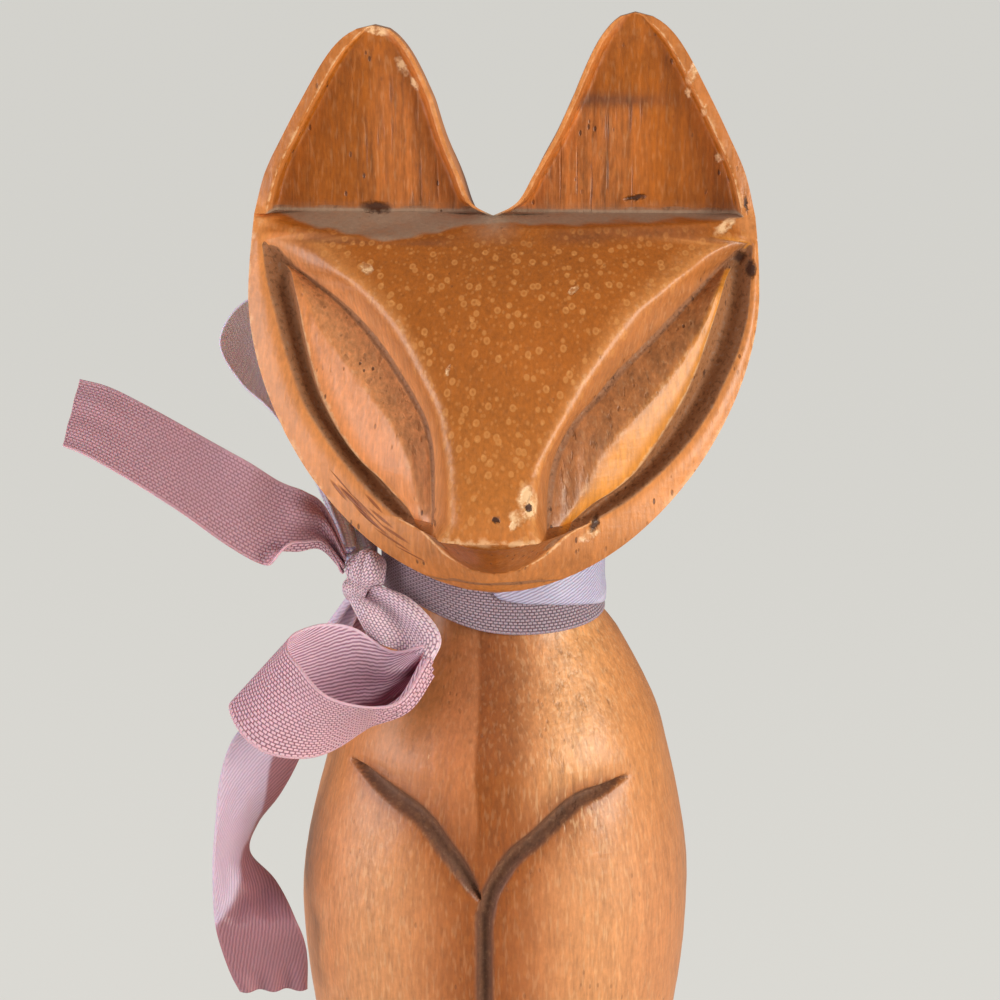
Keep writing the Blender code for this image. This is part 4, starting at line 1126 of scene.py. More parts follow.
    def _paint_ear(self, up: float, u: float, side: int, place: Vector) -> Paint:
        """Paint of an ear's front: deep floor with a tint darkened as painted shade, worn rim, dust
        at the foot.
        """
        t = (up - self.notch_up) / (self.ear_up[side > 0] - self.notch_up)
        floor = ramp(1.6, 2.6, u) * ramp(10.6, 9.6, u)
        wall = ramp(0.8, 1.2, u) * ramp(3.2, 2.6, u)
        bevel = ramp(10.6, 11.0, u)
        if side < 0:
            band = floor * ramp(3.0, 4.2, u) * ramp(6.6, 5.2, u) * ramp(0.95, 0.6, t)
            stain = 0.0
        else:
            band = floor * ramp(7.0, 5.0, u) * ramp(0.56, 0.50, t)
            stain = floor * bell(place.z - 0.2414 - 0.0006 * grit(place, 200), 0.0010)
            stain *= ramp(9.0, 5.0, u)
        tint = layered(Wood.RIM, (Wood.EAR, max(floor, 0.55 * bevel * ramp(0.0, 0.15, t))),
                       (Wood.EAR_BAND, 0.75 * band), (Wood.EAR_WALL, 0.6 * wall),
                       (Wood.STAIN_AND_SHADE, 0.8 * stain))
        rim = max(0.8 * ramp(1.6, 0.9, u), 0.5 * bevel, 1.7 * bell(u - Line.BORDER, 0.22),
                  ramp(0.93, 1.0, t))
        dust = (0.80 * ramp(0.022, 0.0, t) + 0.40 * ramp(0.12, 0.0, t)) * ramp(11.4, 10.6, u)
        # A dark line along the ear's foot, where it meets the ledge, laid through the groove mark.
        foot = 0.60 * ramp(0.055, 0.025, t) * floor * (0.8 + 0.5 * grit(place, 240, 5.0))
        return Paint(tint, max(0.0, foot), 0.42 * rim, min(0.95, dust),
                     0.20 + floor * (0.32 + 0.70 * band), 0.12, 0.5 + 0.3 * floor)


Route = list[Point3]


@dataclass(frozen=True)
class Body:
    """The body as a radius round the neck's axis."""
    chin: float = CHIN_HEIGHT
    shoulder: float = 0.117
    throat_drop: float = 0.009
    lean: float = -0.0014
    squareness: float = 2.2
    levels: tuple[tuple[float, float, float, float], ...] = (
        (0.0, 0.0286, 0.0308, 0.0318), (0.0012, 0.0298, 0.0320, 0.0330),
        (0.035, 0.0278, 0.0268, 0.0310), (0.070, 0.0262, 0.0248, 0.0260),
        (0.117, 0.0308, 0.0262, 0.0205), (0.145, 0.0256, 0.0232, 0.0175),
        (0.1602, 0.0181, 0.0163, 0.0151), (0.165, 0.014522, 0.014416, 0.014416),
        (0.1704, 0.0137, 0.0136, 0.0136), (0.194, 0.0137, 0.0136, 0.0136))
    lumps: tuple[tuple[Point3, Point3], ...] = (
        ((0.0165, 0.0080, 0.0320), (0.0175, 0.0270, 0.0360)),
        ((0.0108, -0.0280, 0.0040), (0.0096, 0.0125, 0.0095)),
        ((0.0235, -0.0170, 0.0030), (0.0095, 0.0175, 0.0085)))
    lump_top: float = 0.07
    joining: int = 14
    tail: Point3 = (0.0060, 0.0042, 0.0085)
    tail_span: Point2 = (-30, 100)
    tail_ends: Point2 = (14, 20)
    foot_rings: tuple[float, ...] = (0.0, 0.0004, 0.0012)
    rings: tuple[tuple[float, float, int], ...] = (
        (0.0024, 0.095, 44), (0.095, 0.117, 34), (0.117, 0.1455, 76), (0.1455, 0.1925, 32))
    columns: int = 228
    gouge_radius: float = 0.00148
    gouge_depth: float = 0.0012
    gouge_dip: float = 0.0006
    line_x: float = -0.0016
    line_foot: float = 0.0120
    keel: tuple[float, float] = (-0.0030, 0.0009)
    arms_at: tuple[Curve, Curve] = (
        ((-0.0225, 0.1437), (-0.0196, 0.1426), (-0.0166, 0.1412), (-0.0128, 0.1396),
         (-0.0102, 0.1378), (-0.0079, 0.1349), (-0.0057, 0.1321), (-0.0039, 0.1294),
         (-0.0022, 0.1265)),
        ((0.0192, 0.1429), (0.0160, 0.1419), (0.0126, 0.1411), (0.0091, 0.1386), (0.0062, 0.1361),
         (0.0031, 0.1337), (0.0010, 0.1308), (-0.0007, 0.1275), (-0.0014, 0.1240)))

    def axis(self, z: float) -> float:
        """Sideways place of the axis at height z."""
        return smooth([(self.shoulder, self.lean), (self.chin - self.throat_drop, 0.0)], z)

    def level(self, z: float) -> Point3:
        """Half width, front and back reach at height z."""
        half, front, back = (smooth([(row[0], row[k]) for row in self.levels], z)
                             for k in (1, 2, 3))
        return half, front, back

    def lump_reach(self, angle: float, z: float, centre: Sequence[float], radii: Point3) -> float:
        """Distance along a level ray from the axis to the far side of an ellipsoid, or 0."""
        level = 1 - ((z - centre[2]) / radii[2]) ** 2
        if level <= 0:
            return 0.0
        cos, sin = math.cos(angle), math.sin(angle)
        a = (cos / radii[0]) ** 2 + (sin / radii[1]) ** 2
        b = -2 * (centre[0] * cos / radii[0] ** 2 + centre[1] * sin / radii[1] ** 2)
        c = (centre[0] / radii[0]) ** 2 + (centre[1] / radii[1]) ** 2 - level
        root = b * b - 4 * a * c
        return max(0.0, (math.sqrt(root) - b) / (2 * a)) if root > 0 else 0.0

    def tail_height(self, angle: float, z: float) -> float:
        """Relief of the tail that lies round the foot, from the back to the left paw."""
        radius, relief, height = self.tail
        along = (math.degrees(angle) + 90) % 360 - 90
        first, last = self.tail_span
        if not first < along < last:
            return 0.0
        ends = min(1.0, (along - first) / self.tail_ends[0])
        ends *= min(1.0, (last - along) / self.tail_ends[1])
        across = (z - height) / radius
        return relief * math.sqrt(max(0.0, 1 - across * across)) * ends ** 0.5

    def reach(self, angle: float, z: float, level: Point3 | None = None) -> float:
        """Radius of the body at an angle from +X and a height."""
        half, front, back = level or self.level(z)
        depth = front if math.sin(angle) < 0 else back
        n = self.squareness
        trunk = (abs(math.cos(angle) / half) ** n + abs(math.sin(angle) / depth) ** n) ** (-1 / n)
        total = (trunk + self.tail_height(angle, z)) ** self.joining
        if z < self.lump_top:
            for centre, radii in self.lumps:
                for side in (-1, 1):
                    lump = self.lump_reach(angle, z, (side * centre[0], *centre[1:]), radii)
                    total += lump ** self.joining
        return total ** (1 / self.joining)

    def point(self, angle: float, z: float, out: float = 0.0) -> Vector:
        """Point on the body's surface, or a distance out from it."""
        reach = self.reach(angle, z) + out
        return Vector((self.axis(z) + reach * math.cos(angle), reach * math.sin(angle), z))

    def arms(self) -> list[Route]:
        """Places (sideways, height, width share) along the V's arms and the forelegs' line."""
        widths = ([(0, 0.15), (0.12, 0.75), (0.35, 1.15), (0.7, 1.1), (0.9, 0.7), (1, 0.15)],
                  [(0, 0.15), (0.15, 0.75), (0.4, 1.05), (1, 0.95)])
        arms = []
        for arm, width in zip(self.arms_at, widths):
            bend = [Vector((x, 0.0, z)) for x, z in arm]
            places = [spline_point(bend, k / 24) for k in range(25)]
            arms.append([(at.x, at.z, smooth(width, k / 24)) for k, at in enumerate(places)])
        return arms + [[(self.line_x, 0.1240, 0.95), (self.line_x, self.line_foot, 1.0)]]

    def gouge(self, x: float, z: float, routes: list[Route]) -> float:
        """Nearness to the gouged lines: the least distance as a share of the gouge's half width."""
        best = 9.0
        for route in routes:
            for (x0, z0, w0), (x1, z1, w1) in zip(route, route[1:]):
                dx, dz = x1 - x0, z1 - z0
                t = max(0.0, min(1.0, ((x - x0) * dx + (z - z0) * dz) / (dx * dx + dz * dz)))
                away = math.hypot(x - x0 - t * dx, z - z0 - t * dz)
                best = min(best, away / (self.gouge_radius * (w0 + (w1 - w0) * t)))
        return best

    def heights(self) -> list[float]:
        """Heights of the rings, closest where the chest shows."""
        rings = [z for low, high, count in self.rings for z in spread(low, high, count)]
        return [*self.foot_rings, *rings, self.rings[-1][1]]

    def build(self) -> Mesh:
        """The body as one closed painted mesh."""
        mesh = new_mesh(PAINT_LAYERS)
        heights = self.heights()
        levels = [(self.level(z), self.axis(z)) for z in heights]
        routes = self.arms()

        def place(vertex: Vert, column: int, row: int) -> None:
            """Put a vertex on the body and paint it."""
            s = 2 * column / self.columns - 1
            angle = math.pi * (0.44 * s + 0.56 * s ** 3) - math.pi / 2
            z, (level, axis) = heights[row], levels[row]
            reach = self.reach(angle, z, level)
            x = axis + reach * math.cos(angle)
            spot = Vector((x, reach * math.sin(angle), z))
            near = self.gouge(x, z, routes) if abs(s) < 0.80 and 0.008 < z < 0.150 else 9.0
            cut = self.gouge_depth * ramp(1.10, 0.05, near) + self.gouge_dip * bell(near, 3.2)
            rings = abs(s) < 1 and 0.0012 < z < 0.19
            wear = (0.00010 * grit(spot, 110) + 0.00004 * grit(spot, 420)) if rings else 0.0
            ridge = self.keel[1] * max(0.0, 1 - math.hypot(x - self.keel[0], 0.001) / 0.014)
            ridge *= ramp(0.125, 0.140, z) * ramp(0.172, 0.160, z)
            reach += wear - cut + (ridge if abs(s) < 0.7 else 0.0)
            vertex.co = Vector((axis + reach * math.cos(angle), reach * math.sin(angle), z))
            self.paint(spot, near, s).lay(mesh, vertex)

        lay_grid(mesh, self.columns, len(heights) - 1, place)
        bmesh.ops.remove_doubles(mesh, verts=mesh.verts, dist=1e-7)
        bmesh.ops.holes_fill(mesh, edges=[edge for edge in mesh.edges if edge.is_boundary])
        bmesh.ops.recalc_face_normals(mesh, faces=mesh.faces)
        return mesh

    def paint(self, place: Vector, near: float, s: float) -> Paint:
        """Paint of the body.

        Args:
            place: The vertex's place.
            near: Nearness to the gouged lines.
            s: Place round the body, from -1 to 1 with 0 at the front.

        Returns:
            The paint there.
        """
        low, round_side = ramp(0.146, 0.128, place.z), abs(s)
        x = place.x + 0.0004 * grit(place, 160)
        # Painted shade in the hollow along the keel's right side, sharp at its left edge.
        keel = ramp(-0.0032, -0.0024, x) * ramp(0.0078, 0.0020, x) * ramp(0.124, 0.136, place.z)
        # Painted highlight: an upright pale band on the chest, right of the keel.
        sheen_highlight = bell(x - 0.0110 - 0.06 * (0.155 - place.z), 0.0062)
        sheen_highlight *= ramp(0.131, 0.142, place.z) * ramp(0.172, 0.164, place.z)
        # Painted highlight on both legs, out to the sides of the forelegs' line.
        shine_highlight = low * bell(abs(x - self.line_x) - 0.0175, 0.0075) * ramp(0.07, 0.11, place.z)
        # Mask of the gouges' own tint, dirt darkened as painted shade.
        gouge = ramp(1.20, 0.70, near)
        tint = layered(
            Wood.CHEST, (Wood.FLANK, ramp(0.16, 0.46, round_side)), (Wood.SHADE_ORANGE, keel),
            (Wood.SHEEN_HIGHLIGHT, 0.75 * sheen_highlight), (Wood.LEG, low * ramp(0.004, 0.014, abs(x - self.line_x))),
            # Painted shade: a dark band beside the forelegs' line, and halos round the gouges.
            (Wood.SHADE_ORANGE, 0.88 * low * bell(x - self.line_x, 0.0088)),
            (Wood.SHADE_ORANGE, 0.7 * bell(near, 3.0)), (Wood.BACK, ramp(0.5, 0.8, round_side)),
            (Wood.SHEEN_HIGHLIGHT, 0.40 * shine_highlight), (Wood.SHADE_ORANGE, 0.40 * ramp(2.4, 1.2, near)),
            (Wood.GOUGE_DIRT_AND_SHADE, 0.92 * gouge))
        # The pale specks of the edge mark and the grain dashes are raised where the highlights are
        # painted.
        edge = max(0.12 * bell(near - 1.3, 0.25), 0.06 * shine_highlight, 0.05 * sheen_highlight)
        return Paint(tint, 0.47 * gouge, edge, 0.26 * ramp(0.9, 0.5, near),
                     0.24 + 0.50 * sheen_highlight + 0.20 * shine_highlight, 0.10, 0.30)


@dataclass(frozen=True)
class Figure:
    """The whole carving: head and body as one block of wood."""
    head: Head = Head()
    body: Body = Body()
    finish: CarvedWood = CarvedWood()

    def build(self) -> Piece:
        """The carving as one closed solid, dressed and riding on the frame."""
        wood = self.finish.make()
        trunk, top = self.body.build(), self.head.build()
        paints = [read_paint(trunk), read_paint(top)]
        carving = finish_piece("carved_cat", trunk, [wood])
        head = finish_piece("head_blank", top, [wood])
        joined = carving.modifiers.new("head", 'BOOLEAN')
        joined.object = head
        joined.operation = 'UNION'
        joined.solver = 'EXACT'
        apply_modifiers(carving)
        bpy.data.objects.remove(head)
        repaint(carving, paints[0] + paints[1])
        carving.data.set_sharp_from_angle(angle=math.radians(50))
        stand_for(carving, "cat_figure")
        return carving


# The ribbon
Station = tuple[Point3, Point3]


@dataclass(frozen=True)
class Stretch:
    """One stretch of the ribbon: its node, where it runs, how it is held and how it looks."""
    node: str
    stations: list[Station]
    held: str
    near: Look
    far: Look
    shifted: Tone = Tone.WINE
    age: Callable[[float, float], float] = lambda t, share: 0.0
    from_knot: bool = False
    pleats: float = 2.5
    curl: float = 0.0
    curl_end: float = 1.0


@dataclass(frozen=True)
class Ribbon:
    """One length of ribbon tied round the neck in a bow, in stretches between knot and folds."""
    body: Body = Body()
    cloth: RibbonCloth = RibbonCloth()
    width: float = RIBBON_WIDTH
    thickness: float = 0.0003
    seat_gap: float = 0.0003
    band_drop: float = 0.0092
    band_ease: float = 0.0004
    knot_radius: float = 0.0034
    knot_out: float = 0.0240
    knot_angle: float = math.radians(214.3)
    knot_drop: float = 0.0002
    pull_spread: float = math.radians(34)
    gather: float = 0.22
    across: int = 40
    face_length: float = 0.0004
    fine: int = 400
    turn_faces: int = 300
    fold_faces: tuple[int, int] = (110, 20)
    fold: Curve = ((262, 0.98), (265, 0.62), (272, 0.45), (300, 0.36), (325, 0.25), (350, 0.12),
        (380, 0.06), (400, 0.40), (410, 0.98))
    knot_faces: tuple[int, int] = (120, 64)
    knot_axis: Point3 = (-0.50, -0.42, -0.76)
    knot_ends: Point2 = (-0.0034, 0.0050)
    knot_shape: Curve = ((-0.0034, 0.0), (-0.0031, 0.0016), (-0.0018, 0.0028), (0.0, 0.0031),
        (0.0015, 0.0025), (0.0023, 0.0017), (0.0032, 0.0019), (0.0041, 0.0016), (0.0047, 0.0009),
        (0.0050, 0.0))
    curl_share: float = 0.25

    def knot_centre(self) -> Vector:
        """Centre of the knot, out from the neck's axis."""
        return Vector((self.knot_out * math.cos(self.knot_angle),
                       self.knot_out * math.sin(self.knot_angle), self.body.chin - self.knot_drop))

    def beside_body(self, stations: Sequence[Station]) -> list[tuple[Vector, Vector]]:
        """Stations given as degrees from the knot, height above it and distance from the wood."""
        level = self.knot_centre().z
        return [(self.body.point(self.knot_angle + math.radians(turn), level + up, out),
                 Vector(lean)) for (turn, up, out), lean in stations]

    def beside_knot(self, stations: Sequence[Station]) -> list[tuple[Vector, Vector]]:
        """Stations given from the knot's centre."""
        return [(self.knot_centre() + Vector(place), Vector(lean)) for place, lean in stations]

    def strip(self, run: Stretch) -> Piece:
        """A stretch of ribbon along its stations, as a finished piece."""
        laid = self.beside_knot if run.from_knot else self.beside_body
        stations = laid(run.stations)
        edges = [[centre + lean * self.width / 2 * side for centre, lean in stations]
                 for side in (-1, 1)]
        middle = [(spline_point(edges[0], k / self.fine)
                   + spline_point(edges[1], k / self.fine)) / 2 for k in range(self.fine + 1)]
        runs = [0.0]
        for a, b in zip(middle, middle[1:]):
            runs.append(runs[-1] + (b - a).length)
        length = runs[-1]
        steps = max(12, round(length / self.face_length))
        at = [next((k for k, gone in enumerate(runs) if gone >= length * n / steps - 1e-9),
                   self.fine) / self.fine for n in range(steps + 1)]
        mesh = new_cloth()
        age = mesh.verts.layers.float_color["age"]
        places: dict[Vert, Point2] = {}

        def place(vertex: Vert, column: int, row: int) -> None:
            """Put a vertex on the ribbon, with its tone shift."""
            t, share = at[column], row / self.across
            a, b = spline_point(edges[0], t), spline_point(edges[1], t)
            ahead = (spline_point(middle, min(1.0, t + 0.004))
                     - spline_point(middle, max(0.0, t - 0.004)))
            out = ahead.cross(b - a).normalized()
            turned = run.curl * ramp(0.0, 0.06, t) * ramp(run.curl_end, 0.6 * run.curl_end, t)
            if turned > 0 and share < self.curl_share:
                vertex.co = self.curled(a, b, out, share, turned)
            else:
                vertex.co = a.lerp(b, share) + out * self.pleat((b - a).length, share, run.pleats)
            vertex[age] = (run.age(t, share), 0.0, 0.0, 1.0)
            places[vertex] = (length * column / steps, self.width * row / self.across)

        lay_grid(mesh, steps, self.across, place)
        lay_uvs(mesh, places)
        piece = self.dress(run.node, mesh, [run.near, run.far], run.shifted)
        LOG.info("%s: %.1f mm of ribbon", run.node, length * 1000)
        return piece

    def curled(self, a: Vector, b: Vector, out: Vector, share: float, turned: float) -> Vector:
        """Place of a point where the lower edge has curled over to the front.

        Args:
            a: The lower edge.
            b: The upper edge.
            out: Which way the ribbon's back faces.
            share: Place across, as a share of the ribbon's width.
            turned: How far the edge has turned, from 0 to 1.

        Returns:
            The point's place.
        """
        start, down = a.lerp(b, self.curl_share), (a - b).normalized()
        away = (self.curl_share - share) * (b - a).length
        radius, angle = 0.0005, math.radians(165) * turned
        bent = min(away, radius * angle)
        turn = bent / radius
        spot = start + down * radius * math.sin(turn) - out * radius * (1 - math.cos(turn))
        return spot + (down * math.cos(turn) - out * math.sin(turn)) * (away - bent)

    def dress(self, node: str, mesh: Mesh, looks: Sequence[Look], shifted: Tone) -> Piece:
        """Make a sheet a piece with thickness that replaces a CAD node."""
        bmesh.ops.remove_doubles(mesh, verts=mesh.verts, dist=1e-7)
        piece = finish_piece(node + "_cloth", mesh, [self.cloth.make(look, shifted) for look in looks])
        cloth = piece.modifiers.new("cloth", 'SOLIDIFY')
        cloth.thickness = self.thickness
        cloth.offset = 0
        cloth.material_offset = 1
        apply_modifiers(piece)
        stand_for(piece, node)
        return piece

    def pleat(self, wide: float, share: float, pleats: float) -> float:
        """How far a pleat stands off where the ribbon is drawn together.

        Args:
            wide: Distance from edge to edge there.
            share: Place across, as a share of the ribbon's width.
            pleats: Waves from edge to edge.

        Returns:
            The distance out from the straight line between the edges.
        """
        spare = max(0.0, (self.width / max(wide, 0.2 * self.width)) ** 2 - 1)
        height = math.sqrt(2 * spare) * wide / pleats / math.tau
        return min(height, 0.0011) * math.sin(math.tau * pleats * share)

    def band_point(self, angle: float, share: float) -> Vector:
        """Point on the neck band at an angle from +X and a share of the ribbon's width."""
        turn = (angle - self.knot_angle + math.pi) % (2 * math.pi) - math.pi
        pull = bell(turn, self.pull_spread)
        low = self.body.chin - self.band_drop
        z = low + self.width * (share + self.gather * pull * (1 - 2 * share))
        z += (self.knot_centre().z - low - self.width / 2) * pull
        on_neck = self.body.reach(angle, z) + self.seat_gap + self.band_ease + self.thickness
        on_knot = self.knot_out - self.knot_radius - self.seat_gap - self.thickness
        reach = on_neck + max(0.0, on_knot - on_neck) * pull
        return Vector((self.body.axis(z) + reach * math.cos(angle), reach * math.sin(angle), z))

    def band(self) -> Piece:
        """The turn round the neck, with its upper edge folded down at the cat's left."""
        length = sum((self.band_point(math.tau * (k + 1) / 90, 0.5)
                      - self.band_point(math.tau * k / 90, 0.5)).length for k in range(90))
        mesh = new_cloth()
        places: dict[Vert, Point2] = {}

        def wound(vertex: Vert, column: int, row: int) -> None:
            """Put a vertex on the turn."""
            share = row / self.across
            turned = column / self.turn_faces
            vertex.co = self.band_point(self.knot_angle + math.tau * turned, share)
            places[vertex] = (length * turned, self.width * share)

        def folded(vertex: Vert, column: int, row: int) -> None:
            """Put a vertex on the fold, which lies on the turn."""
            columns, rows = self.fold_faces
            degrees = self.fold[0][0] + (self.fold[-1][0] - self.fold[0][0]) * column / columns
            low = smooth(self.fold, degrees)
            share = low + (1 - low) * row / rows
            on_band = self.band_point(math.radians(degrees), share)
            rise = 0.0004 + 0.0004 * math.sin(min(1.0, row / 4) * math.pi / 2)
            vertex.co = on_band + Vector((on_band.x, on_band.y, 0.0)).normalized() * rise
            places[vertex] = (length * degrees / 360, self.width * (1.2 - share))

        lay_grid(mesh, self.turn_faces, self.across, wound)
        looks = [(Face.BASKET, Tone.GREY), (Face.SATIN, Tone.LILAC)]
        first = len(mesh.faces)
        lay_grid(mesh, *self.fold_faces, folded)
        age = mesh.verts.layers.float_color["age"]
        for vertex in mesh.verts:
            vertex[age] = (0.0, 0.0, 0.0, 1.0)
        mesh.faces.ensure_lookup_table()
        for face in mesh.faces[first:]:
            face.material_index = len(looks)
            face.normal_flip()
        lay_uvs(mesh, places)
        piece = self.dress("neck_band", mesh, looks * 2, Tone.GREY)
        return piece

    def knot(self) -> Piece:
        """The knot: ribbon gathered into pleats and tied off, with a small lobe out of it."""
        turns, steps = self.knot_faces
        axis = Vector(self.knot_axis).normalized()
        side = axis.cross(Vector((0.0, 1.0, 0.0))).normalized()
        other = axis.cross(side)
        mesh = new_cloth()
        places: dict[Vert, Point2] = {}

        def place(vertex: Vert, column: int, row: int) -> None:
            """Put a vertex on the gathered ribbon."""
            along = self.knot_ends[0] + (self.knot_ends[1] - self.knot_ends[0]) * row / steps
            radius = smooth(self.knot_shape, along)
            angle = math.tau * column / turns
            pleat = abs(math.sin(3.5 * angle + 320 * along + 0.7 * math.sin(2 * angle)))
            radius *= 0.80 + 0.20 * pleat ** 0.7 + 0.10 * math.sin(angle * 2 + 900 * along)
            out = side * math.cos(angle) + other * math.sin(angle)
            vertex.co = self.knot_centre() + axis * along + out * radius
            places[vertex] = (along + self.knot_radius, self.knot_radius * angle)

        lay_grid(mesh, turns, steps, place)
        lay_uvs(mesh, places)
        bmesh.ops.remove_doubles(mesh, verts=mesh.verts, dist=1e-6)
        bmesh.ops.recalc_face_normals(mesh, faces=mesh.faces)
        cloth = self.cloth.make((Face.BASKET, Tone.PLUM), Tone.PLUM)
        piece = finish_piece("knot_cloth", mesh, [cloth])
        stand_for(piece, "knot")
        return piece


BOW_TAB: list[Station] = [
    ((2.6, -0.0029, 0.0108), (0.38, 0.11, 0.10)),
    ((9.7, -0.0041, 0.0098), (0.62, 0.10, 0.18)),
    ((15.7, -0.0068, 0.0084), (0.84, -0.10, 0.16)),
    ((19.6, -0.0090, 0.0078), (0.88, -0.26, 0.10)),
    ((20.3, -0.0106, 0.0078), (0.70, -0.34, -0.12)),
]
FRONT_LOOP: list[Station] = [
    ((32.4, -0.0112, 0.0090), (-0.02, 0.40, -0.38)),
    ((28.7, -0.0160, 0.0102), (-0.02, 0.62, -0.38)),
    ((21.7, -0.0181, 0.0115), (-0.16, 0.79, -0.57)),
    ((16.7, -0.0189, 0.0152), (-0.18, 0.58, -0.86)),
    ((14.7, -0.0178, 0.0197), (-0.25, 0.25, -0.99)),
    ((10.7, -0.0154, 0.0239), (-0.41, -0.17, -1.07)),
    ((5.7, -0.0133, 0.0256), (-0.55, -0.42, -0.90)),
    ((-0.3, -0.0119, 0.0239), (-0.72, -0.38, -0.75)),
    ((0.7, -0.0126, 0.0168), (-0.41, -0.25, -0.99)),
    ((6.7, -0.0137, 0.0108), (-0.12, -0.21, -1.04)),
    ((16.7, -0.0154, 0.0069), (-0.08, -0.08, -0.85)),
    ((29.4, -0.0121, 0.0080), (-0.03, -0.04, -0.58)),
]
HANGING_TAIL: list[Station] = [
    ((-4.3, -0.0036, 0.0097), (0.27, 0.15, -0.04)),
    ((-19.3, -0.0122, 0.0080), (0.50, 0.42, -0.17)),
    ((-20.3, -0.0232, 0.0089), (0.61, 0.51, -0.22)),
    ((-16.3, -0.0293, 0.0111), (0.75, 0.48, -0.46)),
    ((-16.3, -0.0354, 0.0121), (0.66, 0.61, -0.45)),
    ((-17.3, -0.0419, 0.0126), (0.38, 0.86, -0.35)),
    ((-16.3, -0.0471, 0.0126), (0.30, 0.92, -0.27)),
    ((-14.3, -0.0527, 0.0102), (0.68, 0.73, 0.01)),
    ((-8.3, -0.0564, 0.0095), (0.99, 0.22, 0.10)),
    ((-8.3, -0.0626, 0.0080), (0.98, 0.25, 0.17)),
    ((-8.3, -0.0680, 0.0076), (0.83, 0.25, -0.08)),
]
REAR_LOOP: list[Station] = [
    ((-0.0026, 0.0031, 0.0017), (0.07, 0.07, -0.30)),
    ((-0.0040, 0.0083, 0.0039), (0.15, 0.22, -0.33)),
    ((-0.0074, 0.0161, 0.0087), (0.32, 0.44, -0.52)),
    ((-0.0136, 0.0236, 0.0168), (0.40, 0.80, -0.41)),
    ((-0.0182, 0.0261, 0.0219), (0.54, 0.78, -0.28)),
    ((-0.0215, 0.0264, 0.0281), (0.51, 0.82, -0.23)),
    ((-0.0192, 0.0269, 0.0332), (0.55, 0.81, -0.22)),
    ((-0.0152, 0.0278, 0.0354), (0.54, 0.79, -0.23)),
    ((-0.0120, 0.0282, 0.0322), (0.50, 0.79, -0.21)),
    ((-0.0108, 0.0278, 0.0240), (0.46, 0.79, -0.33)),
    ((-0.0080, 0.0242, 0.0125), (0.42, 0.71, -0.42)),
    ((-0.0025, 0.0148, 0.0038), (0.25, 0.29, -0.46)),
    ((-0.0002, 0.0045, 0.0007), (0.08, 0.05, -0.30)),
]
LONG_TAIL: list[Station] = [
    ((-0.0031, 0.0002, 0.0012), (0.03, 0.08, 0.24)),
    ((-0.0066, 0.0011, 0.0056), (0.05, 0.35, 0.57)),
    ((-0.0098, -0.0008, 0.0067), (0.18, 0.28, 0.86)),
    ((-0.0138, -0.0011, 0.0077), (0.18, 0.32, 0.98)),
    ((-0.0184, -0.0017, 0.0107), (0.27, 0.31, 0.96)),
    ((-0.0255, 0.0002, 0.0146), (0.23, 0.61, 0.77)),
    ((-0.0335, 0.0016, 0.0189), (0.19, 0.67, 0.72)),
    ((-0.0396, 0.0027, 0.0218), (0.18, 0.69, 0.69)),
    ((-0.0438, 0.0039, 0.0228), (0.07, 0.73, 0.67)),
]


def front_loop_shift(t: float, share: float) -> float:
    """Share of the maroon tone on the front loop, towards one edge where it turns back into the
    knot.
    """
    return ramp(-0.10, 0.10, share - 0.95 + 4.2 * (t - 0.82)) * ramp(0.80, 0.86, t)


def hanging_tail_shift(t: float, share: float) -> float:
    """Share of the darker tone on the hanging tail: at its foot and along one side."""
    side = ramp(-0.03, 0.03, share - 0.62 - 0.32 * ramp(0.30, 0.52, t))
    return max(ramp(-0.015, 0.015, t - 0.78 + 0.24 * share), side)


STRETCHES = (
    Stretch("bow_tab", BOW_TAB, "folded", (Face.BASKET, Tone.PLUM), (Face.SATIN, Tone.BLUSH),
            pleats=1.5),
    Stretch("front_loop", FRONT_LOOP, "folded", (Face.BASKET, Tone.ROSE), (Face.SATIN, Tone.BLUSH),
            age=front_loop_shift),
    Stretch("hanging_tail", HANGING_TAIL, "hung", (Face.SATIN, Tone.MIST),
            (Face.BASKET, Tone.MAUVE), Tone.DUSK, hanging_tail_shift),
    # The rear loop's inner face takes the lightened pearl tone, as painted light.
    Stretch("rear_loop", REAR_LOOP, "folded", (Face.BASKET, Tone.PEARL), (Face.BASKET, Tone.PEARL_LIT),
            from_knot=True),
    Stretch("long_tail", LONG_TAIL, "stretched", (Face.BASKET, Tone.ROSE),
            (Face.BASKET, Tone.MAUVE), from_knot=True, curl=1.0, curl_end=0.38),
)


def aimed(name: str, data: Any, at: Point3, along: Vector) -> Piece:
    """A camera or lamp in the scene that looks along a direction."""
    made = bpy.data.objects.new(name, data)
    made.location = at
    made.rotation_mode = 'QUATERNION'
    made.rotation_quaternion = along.to_track_quat('-Z', 'Y')
    bpy.context.scene.collection.objects.link(made)
    return made


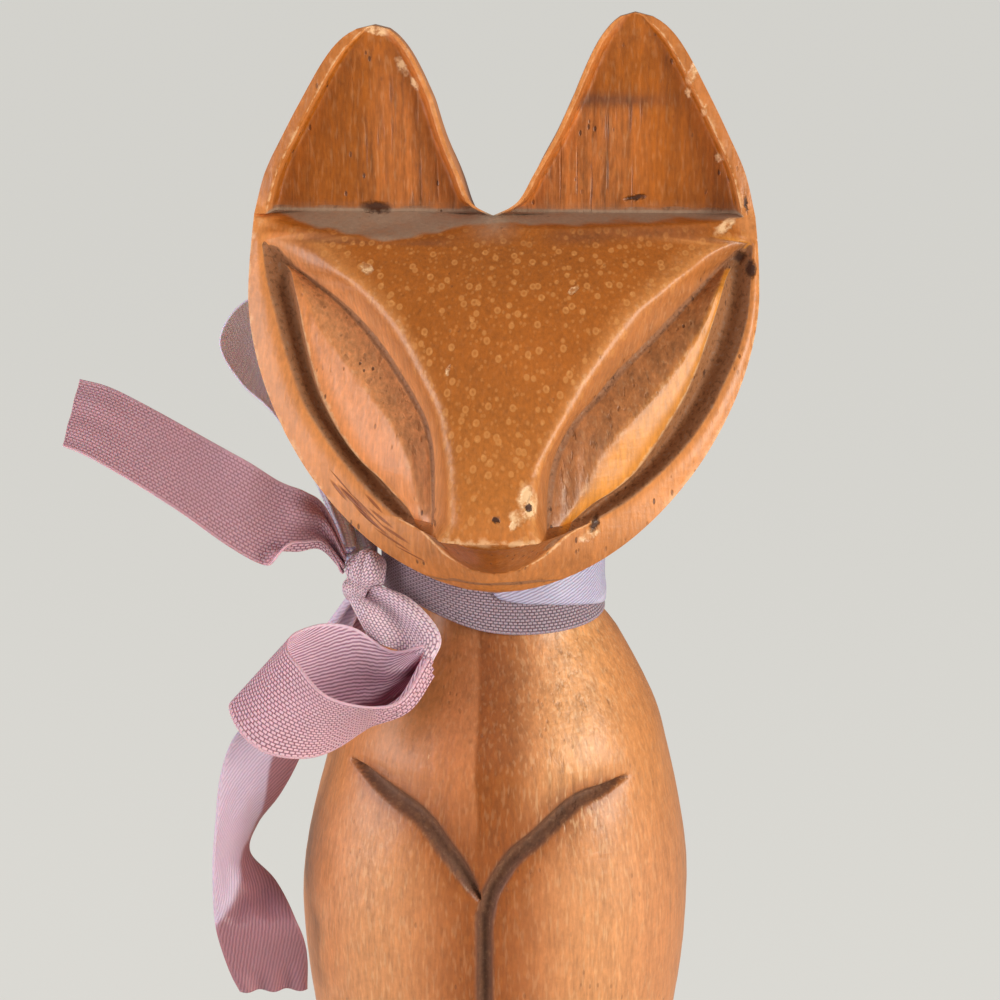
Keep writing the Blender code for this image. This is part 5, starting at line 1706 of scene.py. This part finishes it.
@dataclass(frozen=True)
class Studio:
    """Plain pale floor, soft lamps at both sides and the camera."""
    camera_at: Point3 = (0.01548, -0.30614, 0.26918)
    azimuth: float = math.radians(3)
    down: float = math.radians(16)
    lens: float = 75.0
    sensor: float = 36.0
    nearest: float = 0.01
    pearl_lit: Colour = (0.76, 0.75, 0.71)
    floor_radius: float = 9.0
    floor_glow: float = 0.80
    room_light: float = 0.36
    lit_point: Point3 = (0.0, 0.0, 0.18)
    lamps: tuple[tuple[str, Point3, float, float, Colour], ...] = (
        ("left_window", (-0.62, -0.26, 0.27), 0.44, 3.6, (1.0, 0.95, 0.94)),
        ("right_window", (0.55, -0.33, 0.26), 0.30, 3.9, (1.0, 0.97, 0.88)),
        ("front_fill", (0.05, -0.80, 0.55), 0.60, 0.6, (1.0, 0.98, 0.96)))

    def build(self) -> None:
        """Put up the studio."""
        self.camera()
        self.floor()
        self.world()
        for name, at, size, power, colour in self.lamps:
            self.lamp(name, at, size, power, colour)

    def camera(self) -> None:
        """The camera at the photograph's angle."""
        data = bpy.data.cameras.new("camera")
        data.lens = self.lens
        data.sensor_width = self.sensor
        data.clip_start = self.nearest
        back = Vector((math.sin(self.azimuth) * math.cos(self.down),
                       -math.cos(self.azimuth) * math.cos(self.down), math.sin(self.down)))
        bpy.context.scene.camera = aimed("camera", data, self.camera_at, -back)

    def floor(self) -> None:
        """A wide pale floor that keeps the figure's shadow."""
        mesh = bmesh.new()
        bmesh.ops.create_circle(mesh, cap_ends=True, segments=96, radius=self.floor_radius)
        shader = Shader("pale_floor", Base_Color=self.pearl_lit, Roughness=0.9)
        path = shader.node("ShaderNodeLightPath", {}, {}, "Is Camera Ray")
        glow = shader.node("ShaderNodeEmission", {}, {"Color": self.pearl_lit})
        both = shader.node("ShaderNodeMixShader", {},
                           {0: path * self.floor_glow, 1: shader.principled.outputs[0], 2: glow})
        shader.links.new(both.source, shader.nodes["Material Output"].inputs["Surface"])
        finish_piece("floor", mesh, [shader.material])

    def world(self) -> None:
        """Even pale surroundings."""
        world = bpy.data.worlds.new("pale room")
        world.use_nodes = True
        nodes, links = world.node_tree.nodes, world.node_tree.links
        backdrop = nodes["Background"]
        backdrop.inputs["Color"].default_value = (*self.pearl_lit, 1.0)
        backdrop.inputs["Strength"].default_value = self.room_light
        seen = nodes.new("ShaderNodeBackground")
        seen.inputs["Color"].default_value = (*self.pearl_lit, 1.0)
        path = nodes.new("ShaderNodeLightPath")
        mixed = nodes.new("ShaderNodeMixShader")
        links.new(path.outputs["Is Camera Ray"], mixed.inputs[0])
        links.new(backdrop.outputs[0], mixed.inputs[1])
        links.new(seen.outputs[0], mixed.inputs[2])
        links.new(mixed.outputs[0], nodes["World Output"].inputs["Surface"])
        bpy.context.scene.world = world
        bpy.context.scene.view_settings.view_transform = 'Standard'

    def lamp(self, name: str, at: Point3, size: float, power: float, colour: Colour) -> None:
        """A soft square lamp that faces the figure's head."""
        data = bpy.data.lights.new(name, 'AREA')
        data.size = size
        data.energy = power
        data.color = colour
        aimed(name, data, at, Vector(self.lit_point) - Vector(at))


def main() -> None:
    """Build the carving, the ribbon and the studio, and report each piece."""
    logging.basicConfig(level=logging.INFO, format="%(message)s")
    Studio().build()
    pieces = [Figure().build()]
    ribbon = Ribbon()
    pieces.append(ribbon.band())
    pieces.append(ribbon.knot())
    pieces += [ribbon.strip(run) for run in STRETCHES]
    for piece in pieces:
        LOG.info("%s: %d triangles", piece.name,
                 sum(len(face.vertices) - 2 for face in piece.data.polygons))


if __name__ == "__main__":
    main()
